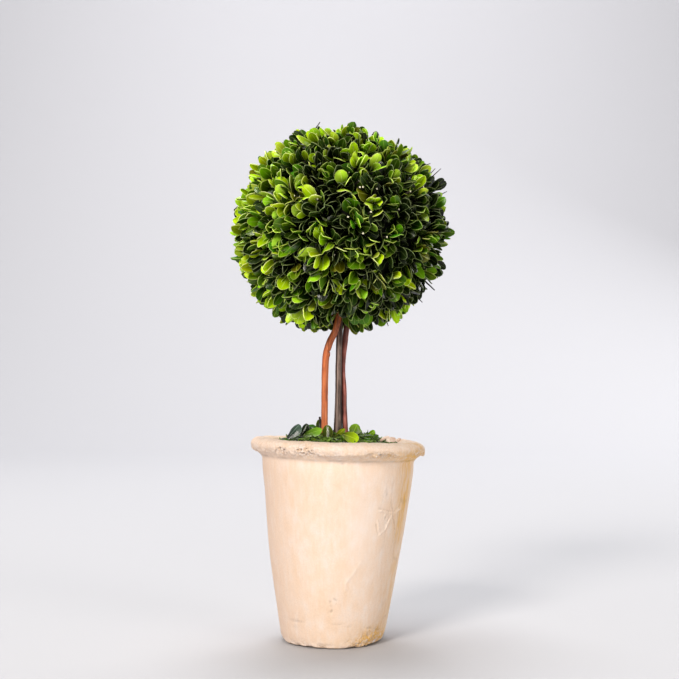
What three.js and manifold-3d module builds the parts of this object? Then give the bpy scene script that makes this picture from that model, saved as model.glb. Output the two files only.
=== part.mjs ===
// A box topiary ball in a hand-thrown clay pot: three bare stems rise from a bed of leaf clippings and
// carry one clipped ball of small leaves. Millimetres, +Z up, origin at the centre of the pot's flat
// foot, with +X to the right and -Y towards the front.
import * as THREE from "three";
import { mergeVertices } from "three/addons/utils/BufferGeometryUtils.js";
import Module from "manifold-3d";

const wasm = await Module();
wasm.setup();

// Driving dimensions
const CLEARANCE = 0.3; // gap between neighbouring pieces

const POT = {
  height: 153, // foot to the crest of the rolled rim
  footRadius: 38.2,
  footRound: 2.4, // rounding under the foot's edge
  neckRadius: 58.4,
  neckHeight: 129,
  belly: 1.2, // how far the wall swells out of a straight taper
  lipRadius: 68, // widest part of the rolled rim
  lipUnderside: 139.6,
  lipWidestHeight: 145.4,
  crestRadius: 60,
  mouthRadius: 50.4,
  wall: 8,
  floor: 10,
  lean: 3.9, // sideways drift of the axis between the foot and the leaning height
  leanHeight: 117,
  leanGrowth: 1.4, // the drift grows by this power of the height
  rimTilt: THREE.MathUtils.degToRad(2), // the rim dips to the right
  rimTiltFrom: 115,
  segments: 48,
};

const FILL_TOP = 146; // level top of the plug that holds the stems

const LITTER = {
  edgeHeight: 150.4,
  crownHeight: 156.2,
  clippings: 34,
  clippingLength: 12,
  clippingWidth: 7.2,
  clippingDepth: 2, // how deep a clipping is rooted in the mound
  rimRoom: 7, // ring along the pot's wall that is left without clippings
  tipRoom: 3, // room between a clipping's tip and the pot's wall
  roll: 0.8, // sideways roll of a clipping, in radians
  seed: 20,
};
const STEM_ROOM = { clipping: 4, twig: 4, leafRoot: 7, leafTip: 6 }; // left free round every stem

// Each limb is a run of points [x, y, z] with the radius there, from its flat cut upwards.
const STEMS = {
  stem_left: {
    colour: 0xc4683c,
    sides: 10,
    steps: 22,
    run: [
      [-6.8, -2.2, 146.3, 3.1],
      [-6.6, -2.2, 160, 2.7],
      [-6.4, -2.1, 187, 2.55],
      [-6.1, -2.2, 205, 2.65],
      [-5.3, -2.6, 218, 2.75],
      [-2.6, -3.4, 228, 2.75],
      [1.5, -4.6, 236.5, 2.65],
      [4.4, -6.2, 248, 2.5],
      [5.2, -6.8, 261, 2.3],
    ],
  },
  stem_middle: {
    colour: 0x6a564a,
    sides: 10,
    steps: 14,
    run: [
      [3.9, -0.8, 146.3, 3.6],
      [3.9, -0.8, 162, 3.2],
      [4.1, -0.7, 181, 2.6],
      [4.4, -0.6, 207, 2.4],
      [5.1, -0.4, 235, 2.35],
      [6, -0.2, 263, 2.1],
    ],
  },
  stem_right: {
    colour: 0x84463a,
    sides: 10,
    steps: 14,
    run: [
      [10.4, 1.6, 146.3, 2.5],
      [9.4, 2, 163, 2.25],
      [8.7, 2.6, 178, 2.1],
      [8.5, 2.9, 191, 2.15],
      [7.7, 3.2, 205, 1.95],
      [8.1, 3.5, 217, 2.1],
      [9.5, 3.6, 231, 2.35],
      [11, 3.5, 244, 2.45],
      [12.6, 3.2, 261, 2.3],
    ],
  },
  broken_shoot: {
    colour: 0x2e211b,
    sides: 7,
    steps: 6,
    run: [
      [-7.4, 3.6, 146.3, 1.15],
      [-8.6, 3, 157, 1.05],
      [-10.4, 2.4, 170.4, 0.75],
    ],
  },
};

const CROWN = {
  centre: new THREE.Vector3(6.6, 0, 315.5),
  reach: 84.6, // radius that the leaf tips are clipped to, measured across
  flatness: 0.975, // the ball's height over its width
  reachSpread: 2.4, // how unevenly the shears left it
  core: 73, // dense inner ball that the sprigs stand out of
  coreDetail: 3,
  sprigs: 106,
  sprigRoot: 66, // radius at which a sprig is rooted in the core
  sprigTip: 79.5,
  sprigLean: 0.2, // sideways lean of a sprig off the radius
  sprigRadius: 1.2,
  sprigTaper: 0.75, // a sprig's thickness at its tip over that at its root
  leafLength: 17,
  leafWidth: 13,
  leafThickness: 0.7,
  leafCup: 0.9,
  leafSeat: 0.3, // how far off its twig's axis a leaf is rooted
  seed: 7,
};
// Where the leaf pairs sit along a sprig, and how far they spread from it in radians.
const LEAF_PAIRS = [
  { along: 0.56, spread: 1.05, size: 1 },
  { along: 0.88, spread: 0.5, size: 0.86 },
];
const LEAF_PLAY = 0.22; // seeded variation of every angle, in radians
const LEAF_SIZES = [0.88, 1.12]; // smallest and largest leaf over the mean
const LEAF_BLUNTNESS = 0.12; // how far past its middle a leaf is widest
const GOLDEN_ANGLE = Math.PI * (3 - Math.sqrt(5));

const COLOURS = {
  pot: 0xecd5bd,
  fill: 0x3b2c20,
  litter: 0x3f5a20,
  crown: 0x4a6a1c,
};

/** A seeded stream of numbers from 0 to 1, the same on every run. */
function seededStream(seed) {
  let state = seed >>> 0;
  return () => {
    state = (state + 0x6d2b79f5) >>> 0;
    let t = state;
    t = Math.imul(t ^ (t >>> 15), t | 1);
    t ^= t + Math.imul(t ^ (t >>> 7), t | 61);
    return ((t ^ (t >>> 14)) >>> 0) / 4294967296;
  };
}

/** A closed three.js geometry as a solid that can be joined and cut. */
function toSolid(geometry) {
  const bare = geometry.index ? geometry.toNonIndexed() : geometry.clone();
  bare.deleteAttribute("normal");
  bare.deleteAttribute("uv");
  const merged = mergeVertices(bare, 1e-4);
  return new wasm.Manifold(
    new wasm.Mesh({
      numProp: 3,
      vertProperties: new Float32Array(merged.attributes.position.array),
      triVerts: new Uint32Array(merged.index.array),
    }),
  );
}

/** A solid back as a three.js geometry. */
function toGeometry(solid) {
  const mesh = solid.getMesh();
  const positions = new Float32Array(mesh.numVert * 3);
  for (let i = 0; i < mesh.numVert; i++) {
    const start = i * mesh.numProp;
    positions.set(mesh.vertProperties.subarray(start, start + 3), i * 3);
  }
  const geometry = new THREE.BufferGeometry();
  geometry.setAttribute("position", new THREE.BufferAttribute(positions, 3));
  geometry.setIndex(new THREE.BufferAttribute(mesh.triVerts, 1));
  geometry.computeVertexNormals();
  return geometry;
}

/** Joins solids two by two, which keeps each join small. */
function joinAll(solids) {
  let row = solids;
  while (row.length > 1) {
    const next = [];
    for (let i = 0; i < row.length; i += 2) {
      next.push(i + 1 < row.length ? row[i].add(row[i + 1]) : row[i]);
    }
    row = next;
  }
  return row[0];
}

/** Keeps the largest closed body of a solid, so that a loose scrap is dropped. */
function largestBody(solid) {
  return solid.decompose().reduce((best, body) => (body.volume() > best.volume() ? body : best));
}

function meshOf(name, geometry, colour, roughness) {
  const material = new THREE.MeshStandardMaterial({ color: colour, roughness, metalness: 0 });
  const mesh = new THREE.Mesh(geometry, material);
  mesh.name = name;
  return mesh;
}

/** Moves every vertex of a geometry by a function that changes a Vector3 in place. */
function reshape(geometry, change) {
  const position = geometry.getAttribute("position");
  const point = new THREE.Vector3();
  for (let i = 0; i < position.count; i++) {
    point.fromBufferAttribute(position, i);
    change(point);
    position.setXYZ(i, point.x, point.y, point.z);
  }
  return geometry;
}

/** The pot as it was thrown: its axis drifts to the right and its rim dips that way. */
function handThrown(point) {
  const climbed = THREE.MathUtils.clamp(point.z / POT.leanHeight, 0, 1);
  const tilted = THREE.MathUtils.smoothstep(point.z, POT.rimTiltFrom, POT.lipUnderside);
  point.z -= Math.tan(POT.rimTilt) * point.x * tilted;
  point.x += POT.lean * climbed ** POT.leanGrowth;
}

/** Radius of the pot's outer wall at a height between the foot and the neck. */
function wallRadius(height) {
  const foot = POT.footRadius + POT.footRound * 0.5;
  const t = (height - POT.footRound) / (POT.neckHeight - POT.footRound);
  return foot + (POT.neckRadius - foot) * t + POT.belly * Math.sin(Math.PI * t);
}

/** Turns a profile of [radius, height] pairs, which starts and ends on the axis, about +Z. */
function turned(profile) {
  const points = profile.map(([radius, height]) => new THREE.Vector2(radius, height));
  return new THREE.LatheGeometry(points, POT.segments).rotateX(Math.PI / 2);
}

/** Heights from the pot's inner floor to just under its mouth, lowest first. */
function innerHeights(lowest, highest, count) {
  return Array.from({ length: count }, (_, i) => lowest + ((highest - lowest) * i) / (count - 1));
}

/** Radius of the pot's inner wall at a height, which widens to the mouth. */
function innerRadius(height) {
  return Math.min(wallRadius(Math.min(height, POT.neckHeight)) - POT.wall, POT.mouthRadius);
}

function makePot() {
  const outer = [[0, 0]];
  const arcSteps = 2;
  const footWidening = POT.footRound * 1.5;
  for (let i = 0; i <= arcSteps; i++) {
    const angle = ((i / arcSteps) * Math.PI) / 2;
    outer.push([
      POT.footRadius - POT.footRound + footWidening * Math.sin(angle),
      POT.footRound * (1 - Math.cos(angle)),
    ]);
  }
  const wallSteps = 5;
  for (let i = 1; i <= wallSteps; i++) {
    const height = POT.footRound + ((POT.neckHeight - POT.footRound) * i) / wallSteps;
    outer.push([wallRadius(height), height]);
  }
  const rim = [
    [POT.neckRadius + 1.2, POT.neckHeight + 5],
    [POT.neckRadius + 4, POT.lipUnderside - 1.2],
    [POT.lipRadius - 2, POT.lipUnderside],
    [POT.lipRadius, POT.lipWidestHeight],
    [POT.lipRadius - 2, POT.height - 2.6],
    [POT.crestRadius + 2, POT.height - 0.2],
    [POT.crestRadius - 4, POT.height - 0.8],
    [POT.mouthRadius, POT.height - 6],
  ];
  const inner = innerHeights(POT.floor, POT.neckHeight, 3)
    .map((height) => [innerRadius(height), height])
    .reverse();
  return reshape(turned([...outer, ...rim, ...inner, [0, POT.floor]]), handThrown);
}

/** The plug that fills the pot up to the litter, level on top, a gap inside the pot's wall and floor. */
function makeFill() {
  const lowest = POT.floor + CLEARANCE;
  const profile = innerHeights(lowest, POT.neckHeight, 3).map((height) => [
    innerRadius(height) - CLEARANCE,
    height,
  ]);
  const brim = turned([
    [0, lowest],
    ...profile,
    [POT.mouthRadius - CLEARANCE, POT.height],
    [0, POT.height],
  ]);
  const above = new THREE.BoxGeometry(4 * POT.lipRadius, 4 * POT.lipRadius, POT.height);
  above.translate(0, 0, FILL_TOP + POT.height / 2);
  return toGeometry(toSolid(reshape(brim, handThrown)).subtract(toSolid(above)));
}

/** One tapering limb: a cylinder bent along its run of points. */
function limb({ run, sides, steps }, grow = 0) {
  const curve = new THREE.CatmullRomCurve3(run.map(([x, y, z]) => new THREE.Vector3(x, y, z)));
  const radii = new THREE.SplineCurve(run.map((stop, i) => new THREE.Vector2(i, stop[3])));
  const geometry = new THREE.CylinderGeometry(1, 1, 1, sides, steps).rotateX(Math.PI / 2);
  const across = new THREE.Vector3();
  const side = new THREE.Vector3();
  return reshape(geometry, (point) => {
    const t = THREE.MathUtils.clamp(point.z + 0.5, 0, 1);
    const along = curve.getTangent(t);
    const radius = radii.getPoint(t).y + grow;
    across.set(1, 0, 0).addScaledVector(along, -along.x).normalize();
    side.crossVectors(along, across);
    const { x, y } = point;
    point.copy(curve.getPoint(t));
    point.addScaledVector(across, x * radius).addScaledVector(side, y * radius);
    if (t === 0) point.z = run[0][2] - grow;
  });
}

/**
 * One leaf: root at the origin, blade along +X, upper side to +Z. A ball with three meridians gives
 * its six faces: two raised margins and a keel meet at the root and the tip.
 */
function leafBlade(length, width, thickness, cup) {
  return reshape(new THREE.SphereGeometry(1, 3, 2), (point) => {
    const { x, y, z } = point;
    const wide = 1 - Math.abs(y);
    const along = (y + 1) / 2 + LEAF_BLUNTNESS * wide;
    const margin = z / Math.sin(Math.PI / 3);
    const rise = x > 0 ? cup : -thickness;
    point.set(along * length, (margin * width) / 2, rise * wide);
  });
}

/** A frame whose X axis runs along a direction, rolled about it by an angle. */
function frameAlong(direction, roll) {
  const x = direction.clone().normalize();
  const helper = Math.abs(x.z) < 0.9 ? new THREE.Vector3(0, 0, 1) : new THREE.Vector3(1, 0, 0);
  const y = new THREE.Vector3().crossVectors(helper, x).normalize();
  const z = new THREE.Vector3().crossVectors(x, y);
  return new THREE.Matrix4()
    .makeBasis(x, y, z)
    .multiply(new THREE.Matrix4().makeRotationX(roll));
}

/** Direction number i of n, spread evenly over a ball by the golden angle. */
function spiralDirection(i, n) {
  const z = 1 - (2 * (i + 0.5)) / n;
  const flat = Math.sqrt(1 - z * z);
  const turn = i * GOLDEN_ANGLE;
  return new THREE.Vector3(flat * Math.cos(turn), flat * Math.sin(turn), z);
}

/** True where a point comes near a stem. */
function touchesStem(point, margin) {
  return Object.values(STEMS).some(({ run }) =>
    run.some((stop, i) => {
      if (i === 0) return false;
      const from = new THREE.Vector3(...run[i - 1].slice(0, 3));
      const to = new THREE.Vector3(...stop.slice(0, 3));
      const nearest = new THREE.Line3(from, to).closestPointToPoint(point, true, new THREE.Vector3());
      return nearest.distanceTo(point) < stop[3] + margin;
    }),
  );
}

/** Where sprig number i stands, which way it grows and how far its tips were left by the shears. */
function sprigGrowth(i, random) {
  const outward = spiralDirection(i, CROWN.sprigs);
  const sway = new THREE.Vector3(random() - 0.5, random() - 0.5, random() - 0.5);
  const heading = outward.clone().addScaledVector(sway, 2 * CROWN.sprigLean).normalize();
  return {
    heading,
    root: CROWN.centre.clone().addScaledVector(outward, CROWN.sprigRoot),
    length: CROWN.sprigTip - CROWN.sprigRoot + (random() - 0.5) * CROWN.reachSpread,
    reach: CROWN.reach + (random() - 0.5) * 2 * CROWN.reachSpread,
    roll: random() * Math.PI,
  };
}

/** One leaf of a sprig as a geometry, or null where it would touch a stem. */
function sprigLeaf(sprig, { along, spread, size }, turn, random) {
  const play = () => (random() - 0.5) * 2 * LEAF_PLAY;
  const node = sprig.root.clone().addScaledVector(sprig.heading, sprig.length * along);
  const frame = frameAlong(sprig.heading, sprig.roll + turn + play());
  frame.multiply(new THREE.Matrix4().makeRotationY(-(spread + play())));
  const blade = new THREE.Vector3().setFromMatrixColumn(frame, 0);
  const foot = node.addScaledVector(blade, CROWN.leafSeat);
  const scale = size * THREE.MathUtils.lerp(...LEAF_SIZES, random());
  let length = CROWN.leafLength * scale;
  const tip = foot.clone().addScaledVector(blade, length);
  const beyond = tip.distanceTo(CROWN.centre) - sprig.reach;
  if (beyond > 0) length -= beyond;
  if (touchesStem(foot, STEM_ROOM.leafRoot) || touchesStem(tip, STEM_ROOM.leafTip)) return null;
  const width = CROWN.leafWidth * scale;
  const facing = new THREE.Matrix4().makeRotationX(play());
  return leafBlade(length, width, CROWN.leafThickness, CROWN.leafCup)
    .applyMatrix4(facing)
    .applyMatrix4(frame.setPosition(foot));
}

/** A three-sided twig from a sprig's root to just under its tip. */
function sprigTwig(sprig) {
  const tip = sprig.root.clone().addScaledVector(sprig.heading, sprig.length);
  if (touchesStem(tip, STEM_ROOM.twig)) return null;
  const thin = CROWN.sprigRadius * CROWN.sprigTaper;
  return new THREE.CylinderGeometry(CROWN.sprigRadius, thin, sprig.length, 3)
    .rotateZ(Math.PI / 2)
    .translate(sprig.length / 2, 0, 0)
    .applyMatrix4(frameAlong(sprig.heading, sprig.roll).setPosition(sprig.root));
}

/** The crown is clipped a little wider than high. */
function flattened(point) {
  point.z = CROWN.centre.z + (point.z - CROWN.centre.z) * CROWN.flatness;
}

/** The clipped ball: a dense core with leafy sprigs standing out of it, cut clear of the stems. */
function makeCrown(stemSockets) {
  const core = new THREE.IcosahedronGeometry(CROWN.core, CROWN.coreDetail);
  core.translate(CROWN.centre.x, CROWN.centre.y, CROWN.centre.z);
  const solids = [toSolid(reshape(core, flattened))];
  for (let i = 0; i < CROWN.sprigs; i++) {
    const random = seededStream(CROWN.seed * 1000 + i);
    const sprig = sprigGrowth(i, random);
    const twig = sprigTwig(sprig);
    if (!twig) continue;
    const pieces = [twig];
    LEAF_PAIRS.forEach((pair, level) => {
      const quarter = (level * Math.PI) / 2;
      pieces.push(sprigLeaf(sprig, pair, quarter, random));
      pieces.push(sprigLeaf(sprig, pair, quarter + Math.PI, random));
    });
    const kept = pieces.filter(Boolean).map((piece) => reshape(piece, flattened));
    solids.push(joinAll(kept.map(toSolid)));
  }
  return toGeometry(largestBody(joinAll(solids).subtract(stemSockets)));
}

/** Height of the litter's mound at a distance from the pot's axis, from 0 to 1 of the mouth. */
function moundHeight(outward) {
  return THREE.MathUtils.lerp(LITTER.crownHeight, LITTER.edgeHeight, outward ** 2);
}

/** The bed of leaf clippings: a low mound with clippings lying and standing on it. */
function makeLitter(stemSockets) {
  const edge = POT.mouthRadius - CLEARANCE;
  const base = FILL_TOP + CLEARANCE;
  const slope = [1, 0.75, 0.4, 0].map((outward) => [edge * outward, moundHeight(outward)]);
  const mound = turned([[0, base], [edge, base], ...slope]).translate(POT.lean, 0, 0);
  const random = seededStream(LITTER.seed);
  const solids = [toSolid(mound)];
  for (let i = 0; i < LITTER.clippings; i++) {
    const out = Math.sqrt((i + 0.5) / LITTER.clippings) * (edge - LITTER.rimRoom);
    const turn = i * GOLDEN_ANGLE;
    const foot = new THREE.Vector3(out * Math.cos(turn), out * Math.sin(turn), 0);
    foot.x += POT.lean;
    foot.z = moundHeight(out / edge) - LITTER.clippingDepth;
    const heading = new THREE.Vector3(random() - 0.5, random() - 0.5, 0.18 + 0.42 * random());
    const length = LITTER.clippingLength * (0.7 + 0.5 * random());
    const tip = foot.clone().addScaledVector(heading.clone().normalize(), length);
    const roll = (random() - 0.5) * 2 * LITTER.roll;
    const outside = Math.hypot(tip.x - POT.lean, tip.y) > edge - LITTER.tipRoom;
    const near = [foot, tip].some((end) => touchesStem(end, STEM_ROOM.clipping));
    if (outside || near) continue;
    const blade = leafBlade(length, LITTER.clippingWidth, CROWN.leafThickness, CROWN.leafCup);
    solids.push(toSolid(blade.applyMatrix4(frameAlong(heading, roll).setPosition(foot))));
  }
  return toGeometry(largestBody(joinAll(solids).subtract(stemSockets)));
}

const topiary = new THREE.Group();
topiary.add(meshOf("pot", makePot(), COLOURS.pot, 0.85));
topiary.add(meshOf("potting_fill", makeFill(), COLOURS.fill, 0.95));

const limbs = Object.entries(STEMS);
for (const [name, stem] of limbs) {
  topiary.add(meshOf(name, limb(stem), stem.colour, 0.55));
}
const sockets = joinAll(limbs.map(([, stem]) => toSolid(limb(stem, CLEARANCE))));
topiary.add(meshOf("leaf_litter", makeLitter(sockets), COLOURS.litter, 0.7));
topiary.add(meshOf("crown", makeCrown(sockets), COLOURS.crown, 0.45));

export default topiary;
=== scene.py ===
"""Looks of a tabletop box topiary: a clipped ball of leaves on three bare stems in a limewashed clay pot.

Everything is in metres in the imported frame: +Z up, +X to the viewer's right, -Y towards the viewer,
with the origin at the centre of the pot's flat foot. Sizes that a maker would measure are written in
millimetres and turned to metres where a mesh is made.
"""

import itertools
import logging
import math
from collections.abc import Callable, Iterable, Iterator
from contextlib import contextmanager
from dataclasses import dataclass, field
from enum import Enum
from functools import partial

import bmesh
import bpy
import numpy as np
from mathutils import Matrix, Vector


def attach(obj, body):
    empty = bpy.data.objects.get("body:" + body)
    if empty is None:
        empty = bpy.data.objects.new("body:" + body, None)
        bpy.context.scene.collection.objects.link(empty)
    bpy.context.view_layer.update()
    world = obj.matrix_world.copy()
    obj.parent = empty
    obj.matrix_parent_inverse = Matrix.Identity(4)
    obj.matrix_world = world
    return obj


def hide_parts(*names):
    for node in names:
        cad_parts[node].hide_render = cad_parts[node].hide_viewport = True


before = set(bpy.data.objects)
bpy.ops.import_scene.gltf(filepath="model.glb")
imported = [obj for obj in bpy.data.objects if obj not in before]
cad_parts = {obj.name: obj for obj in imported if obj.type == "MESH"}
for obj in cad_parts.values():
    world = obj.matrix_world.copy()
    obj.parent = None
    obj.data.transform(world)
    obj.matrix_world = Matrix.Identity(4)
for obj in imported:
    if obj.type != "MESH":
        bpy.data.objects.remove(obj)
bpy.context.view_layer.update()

MM = 0.001
GOLDEN_ANGLE = math.pi * (3 - math.sqrt(5))
BODY = "root"
Piece = bpy.types.Object
Mesh = bpy.types.Mesh
Material = bpy.types.Material
Tree = bpy.types.NodeTree
Node = bpy.types.Node
Socket = bpy.types.NodeSocket
Source = Node | Socket
BLADE_MM = 13.0
LEAF_MAP = "OFBake"
TILES = 4
# How wide and tall one side of a leaf lies on its tile of the leaf map, and how high its root is there.
ISLAND_WIDTH = 0.44
ISLAND_HEIGHT = 0.80
ISLAND_FOOT = 0.04

log = logging.getLogger("topiary")


def linear(code: str) -> tuple[float, float, float, float]:
    """Turn an sRGB hex colour into the linear colour that a shader takes.

    Args:
        code: the colour as #rrggbb.

    Returns:
        Red, green, blue and a full alpha.
    """
    parts = [int(code[i : i + 2], 16) / 255 for i in (1, 3, 5)]
    straight = [c / 12.92 if c <= 0.04045 else ((c + 0.055) / 1.055) ** 2.4 for c in parts]
    return (straight[0], straight[1], straight[2], 1.0)


def feed(node: Node, inputs: dict) -> None:
    """Give a shader node its inputs.

    Args:
        node: the node.
        inputs: for an input's name or number, its value, or the socket or node that feeds it. A node
            feeds it from its first output.
    """
    for name, value in inputs.items():
        if isinstance(value, Node):
            value = value.outputs[0]
        if isinstance(value, Socket):
            node.id_data.links.new(value, node.inputs[name])
        else:
            node.inputs[name].default_value = value


def add_node(
    tree: Tree,
    kind: str,
    inputs: dict | None = None,
    stops: Iterable[tuple[float, str]] = (),
    **settings: object,
) -> Node:
    """Add one shader node with its settings and links.

    Args:
        tree: the material's node tree.
        kind: the node's class name without its leading ShaderNode.
        inputs: for an input's name or number, its value or what feeds it.
        stops: the places and colours of a colour ramp, lowest first.
        settings: the node's own properties.

    Returns:
        The new node.
    """
    node = tree.nodes.new("ShaderNode" + kind)
    for name, value in settings.items():
        setattr(node, name, value)
    stops = list(stops)
    if stops:
        elements = node.color_ramp.elements
        for element, (place, code) in zip((elements[0], elements[-1]), (stops[0], stops[-1])):
            element.position = place
            element.color = linear(code)
        for place, code in stops[1:-1]:
            elements.new(place).color = linear(code)
    feed(node, inputs or {})
    return node


def seeded_stream(seed: int) -> Callable[[], float]:
    """Make the seeded stream of numbers that the part's source uses.

    Args:
        seed: the number that fixes the stream.

    Returns:
        A function that gives the next number from 0 to 1.
    """
    state = seed & 0xFFFFFFFF

    def draw() -> float:
        """Give the next number.

        Returns:
            A number from 0 to 1.
        """
        nonlocal state
        state = (state + 0x6D2B79F5) & 0xFFFFFFFF
        t = state
        t = ((t ^ (t >> 15)) * (t | 1)) & 0xFFFFFFFF
        t ^= (t + (((t ^ (t >> 7)) * (t | 61)) & 0xFFFFFFFF)) & 0xFFFFFFFF
        return ((t ^ (t >> 14)) & 0xFFFFFFFF) / 4294967296

    return draw


def unevenness(places: np.ndarray, size: float | tuple, seed: int, octaves: int = 1) -> np.ndarray:
    """Give smooth seeded unevenness at points in space.

    Args:
        places: points, one per row.
        size: how far apart the bumps are, one length or one per axis.
        seed: the number that fixes the pattern.
        octaves: how many finer layers are laid on, each half as large and half as high.

    Returns:
        One number from about -1 to 1 for each point.
    """
    total = np.zeros(len(places))
    reach = 0.0
    for octave in range(octaves):
        at = places / np.asarray(size) * 2**octave + seed * 7.31
        cell = np.floor(at).astype(np.int64)
        part = at - cell
        ease = part * part * (3 - 2 * part)
        layer = np.zeros(len(places))
        for corner in itertools.product((0, 1), repeat=3):
            x, y, z = (cell + corner).T
            knot = (x * 374761393 + y * 668265263 + z * 974634777 + seed * 1274126177) & 0xFFFFFFFF
            knot = ((knot ^ (knot >> 13)) * 1274126177) & 0xFFFFFFFF
            height = ((knot ^ (knot >> 16)) & 0xFFFF) / 32767.5 - 1
            layer += height * np.where(corner, ease, 1 - ease).prod(axis=1)
        total += layer / 2**octave
        reach += 1 / 2**octave
    return total / reach


def eased(value: np.ndarray | float, low: float, high: float) -> np.ndarray | float:
    """Rise smoothly from 0 at low to 1 at high."""
    t = np.clip((value - low) / (high - low), 0, 1)
    return t * t * (3 - 2 * t)


def turned_from(bearings: np.ndarray, degrees: float) -> np.ndarray:
    """Give how far bearings lie to either side of one in degrees, in radians from -pi to pi."""
    return np.angle(np.exp(1j * (bearings - math.radians(degrees))))


def pick_nothing() -> None:
    """Leave no object selected, so that an operator acts only on what is picked next."""
    bpy.ops.object.select_all(action="DESELECT")


def pick(*pieces: Piece) -> None:
    """Select these objects and no others, and make the first the active one.

    Args:
        pieces: the objects.
    """
    pick_nothing()
    for piece in pieces:
        piece.select_set(True)
    bpy.context.view_layer.objects.active = pieces[0]


@contextmanager
def edit_mode() -> Iterator[None]:
    """Work on the active object in edit mode, where all of it is picked at first.

    Returns:
        A context for a with statement.
    """
    bpy.ops.object.mode_set(mode="EDIT")
    bpy.ops.mesh.select_all(action="SELECT")
    yield
    bpy.ops.object.mode_set(mode="OBJECT")


def pick_points(piece: Piece, test: Callable[[Vector], bool]) -> None:
    """Select, in edit mode, the vertices that pass a test on their place, and no others.

    Args:
        piece: the object in edit mode.
        test: says whether a place is picked.
    """
    cage = bmesh.from_edit_mesh(piece.data)
    for vertex in cage.verts:
        vertex.select = test(vertex.co)
    cage.select_flush(True)
    cage.select_flush(False)
    bmesh.update_edit_mesh(piece.data)


def apply_modifiers(piece: Piece) -> None:
    """Apply every modifier of a piece, first to last.

    Args:
        piece: the object.
    """
    pick(piece)
    for modifier in list(piece.modifiers):
        bpy.ops.object.modifier_apply(modifier=modifier.name)


def add_subdivision(piece: Piece, levels: int) -> None:
    """Round a piece's cage with an applied subdivision surface.

    Args:
        piece: the cage.
        levels: how often each face is cut in four.
    """
    rounding = piece.modifiers.new("rounding", "SUBSURF")
    rounding.levels = levels
    rounding.render_levels = levels
    apply_modifiers(piece)


def points_of(mesh: Mesh) -> np.ndarray:
    """Read a mesh's points.

    Args:
        mesh: the mesh.

    Returns:
        The points in metres, one per row.
    """
    flat = np.zeros(len(mesh.vertices) * 3)
    mesh.vertices.foreach_get("co", flat)
    return flat.reshape(-1, 3)


def normals_of(mesh: Mesh) -> np.ndarray:
    """Read a mesh's vertex normals.

    Args:
        mesh: the mesh.

    Returns:
        The normals, one per row.
    """
    flat = np.zeros(len(mesh.vertices) * 3)
    mesh.vertex_normals.foreach_get("vector", flat)
    return flat.reshape(-1, 3)


def set_points(mesh: Mesh, points: np.ndarray) -> None:
    """Put a mesh's vertices at these points."""
    mesh.vertices.foreach_set("co", np.ascontiguousarray(points, dtype=np.float32).ravel())
    mesh.update()


def paint(mesh: Mesh, name: str, values: np.ndarray) -> None:
    """Write one number per vertex into a named attribute that a material reads."""
    layer = mesh.attributes.new(name, "FLOAT", "POINT")
    layer.data.foreach_set("value", values.astype(np.float32))


def joined_mesh(name: str, copies: Iterable[tuple[np.ndarray, ...]]) -> Piece:
    """Make one object from the arrays of many copies.

    Args:
        name: the piece's name.
        copies: for each copy its points in metres, one per row, the point of every face corner, face
            after face, how many corners each face has, each face's material slot and, on leaves, each
            corner's place on the leaf map.

    Returns:
        The new object, at the origin.
    """
    points, corners, sizes, slots, *places = zip(*copies)
    counts = np.cumsum([0, *(len(own) for own in points)])
    corners = [own + count for own, count in zip(corners, counts)]
    points, corners, sizes, slots = (np.concatenate(parts) for parts in (points, corners, sizes, slots))
    mesh = bpy.data.meshes.new(name)
    mesh.vertices.add(len(points))
    mesh.vertices.foreach_set("co", points.astype(np.float32).ravel())
    mesh.loops.add(len(corners))
    mesh.loops.foreach_set("vertex_index", corners.astype(np.int32))
    mesh.polygons.add(len(sizes))
    starts = np.concatenate([[0], np.cumsum(sizes)[:-1]])
    mesh.polygons.foreach_set("loop_start", starts.astype(np.int32))
    mesh.polygons.foreach_set("material_index", slots.astype(np.int32))
    mesh.update(calc_edges=True)
    if places:
        layer = mesh.uv_layers.new(name=LEAF_MAP)
        layer.data.foreach_set("uv", np.concatenate(places[0]).astype(np.float32).ravel())
    mesh.validate()
    piece = bpy.data.objects.new(name, mesh)
    bpy.context.scene.collection.objects.link(piece)
    return piece


def finish_piece(
    piece: Piece,
    nodes: Iterable[str] = (),
    materials: Iterable[Material] = (),
    crease: float = 45.0,
) -> None:
    """Give a finished piece its materials, smooth shading and place in the assembly.

    Args:
        piece: the piece, at the origin with its place in its mesh.
        nodes: the CAD nodes that it stands for.
        materials: what it wears, one for each of its slots.
        crease: faces that meet at more than this many degrees stay crisp.
    """
    slots = [face.material_index for face in piece.data.polygons]
    piece.data.materials.clear()
    for material in materials:
        piece.data.materials.append(material)
    piece.data.polygons.foreach_set("material_index", slots)
    pick(piece)
    bpy.ops.object.shade_smooth_by_angle(angle=math.radians(crease))
    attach(piece, BODY)
    if nodes:
        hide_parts(*nodes)
    log.info("%s: %d faces", piece.name, len(piece.data.polygons))


def frame_along(direction: Vector, roll: float) -> Matrix:
    """Give a frame whose X axis runs along a direction.

    Args:
        direction: where X points.
        roll: how far the frame is turned about X, in radians.

    Returns:
        A 3 x 3 matrix with the frame's axes as its columns.
    """
    x = direction.normalized()
    helper = Vector((0, 0, 1)) if abs(x.z) < 0.9 else Vector((1, 0, 0))
    y = helper.cross(x).normalized()
    z = x.cross(y)
    return Matrix((x, y, z)).transposed() @ Matrix.Rotation(roll, 3, "X")


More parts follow.
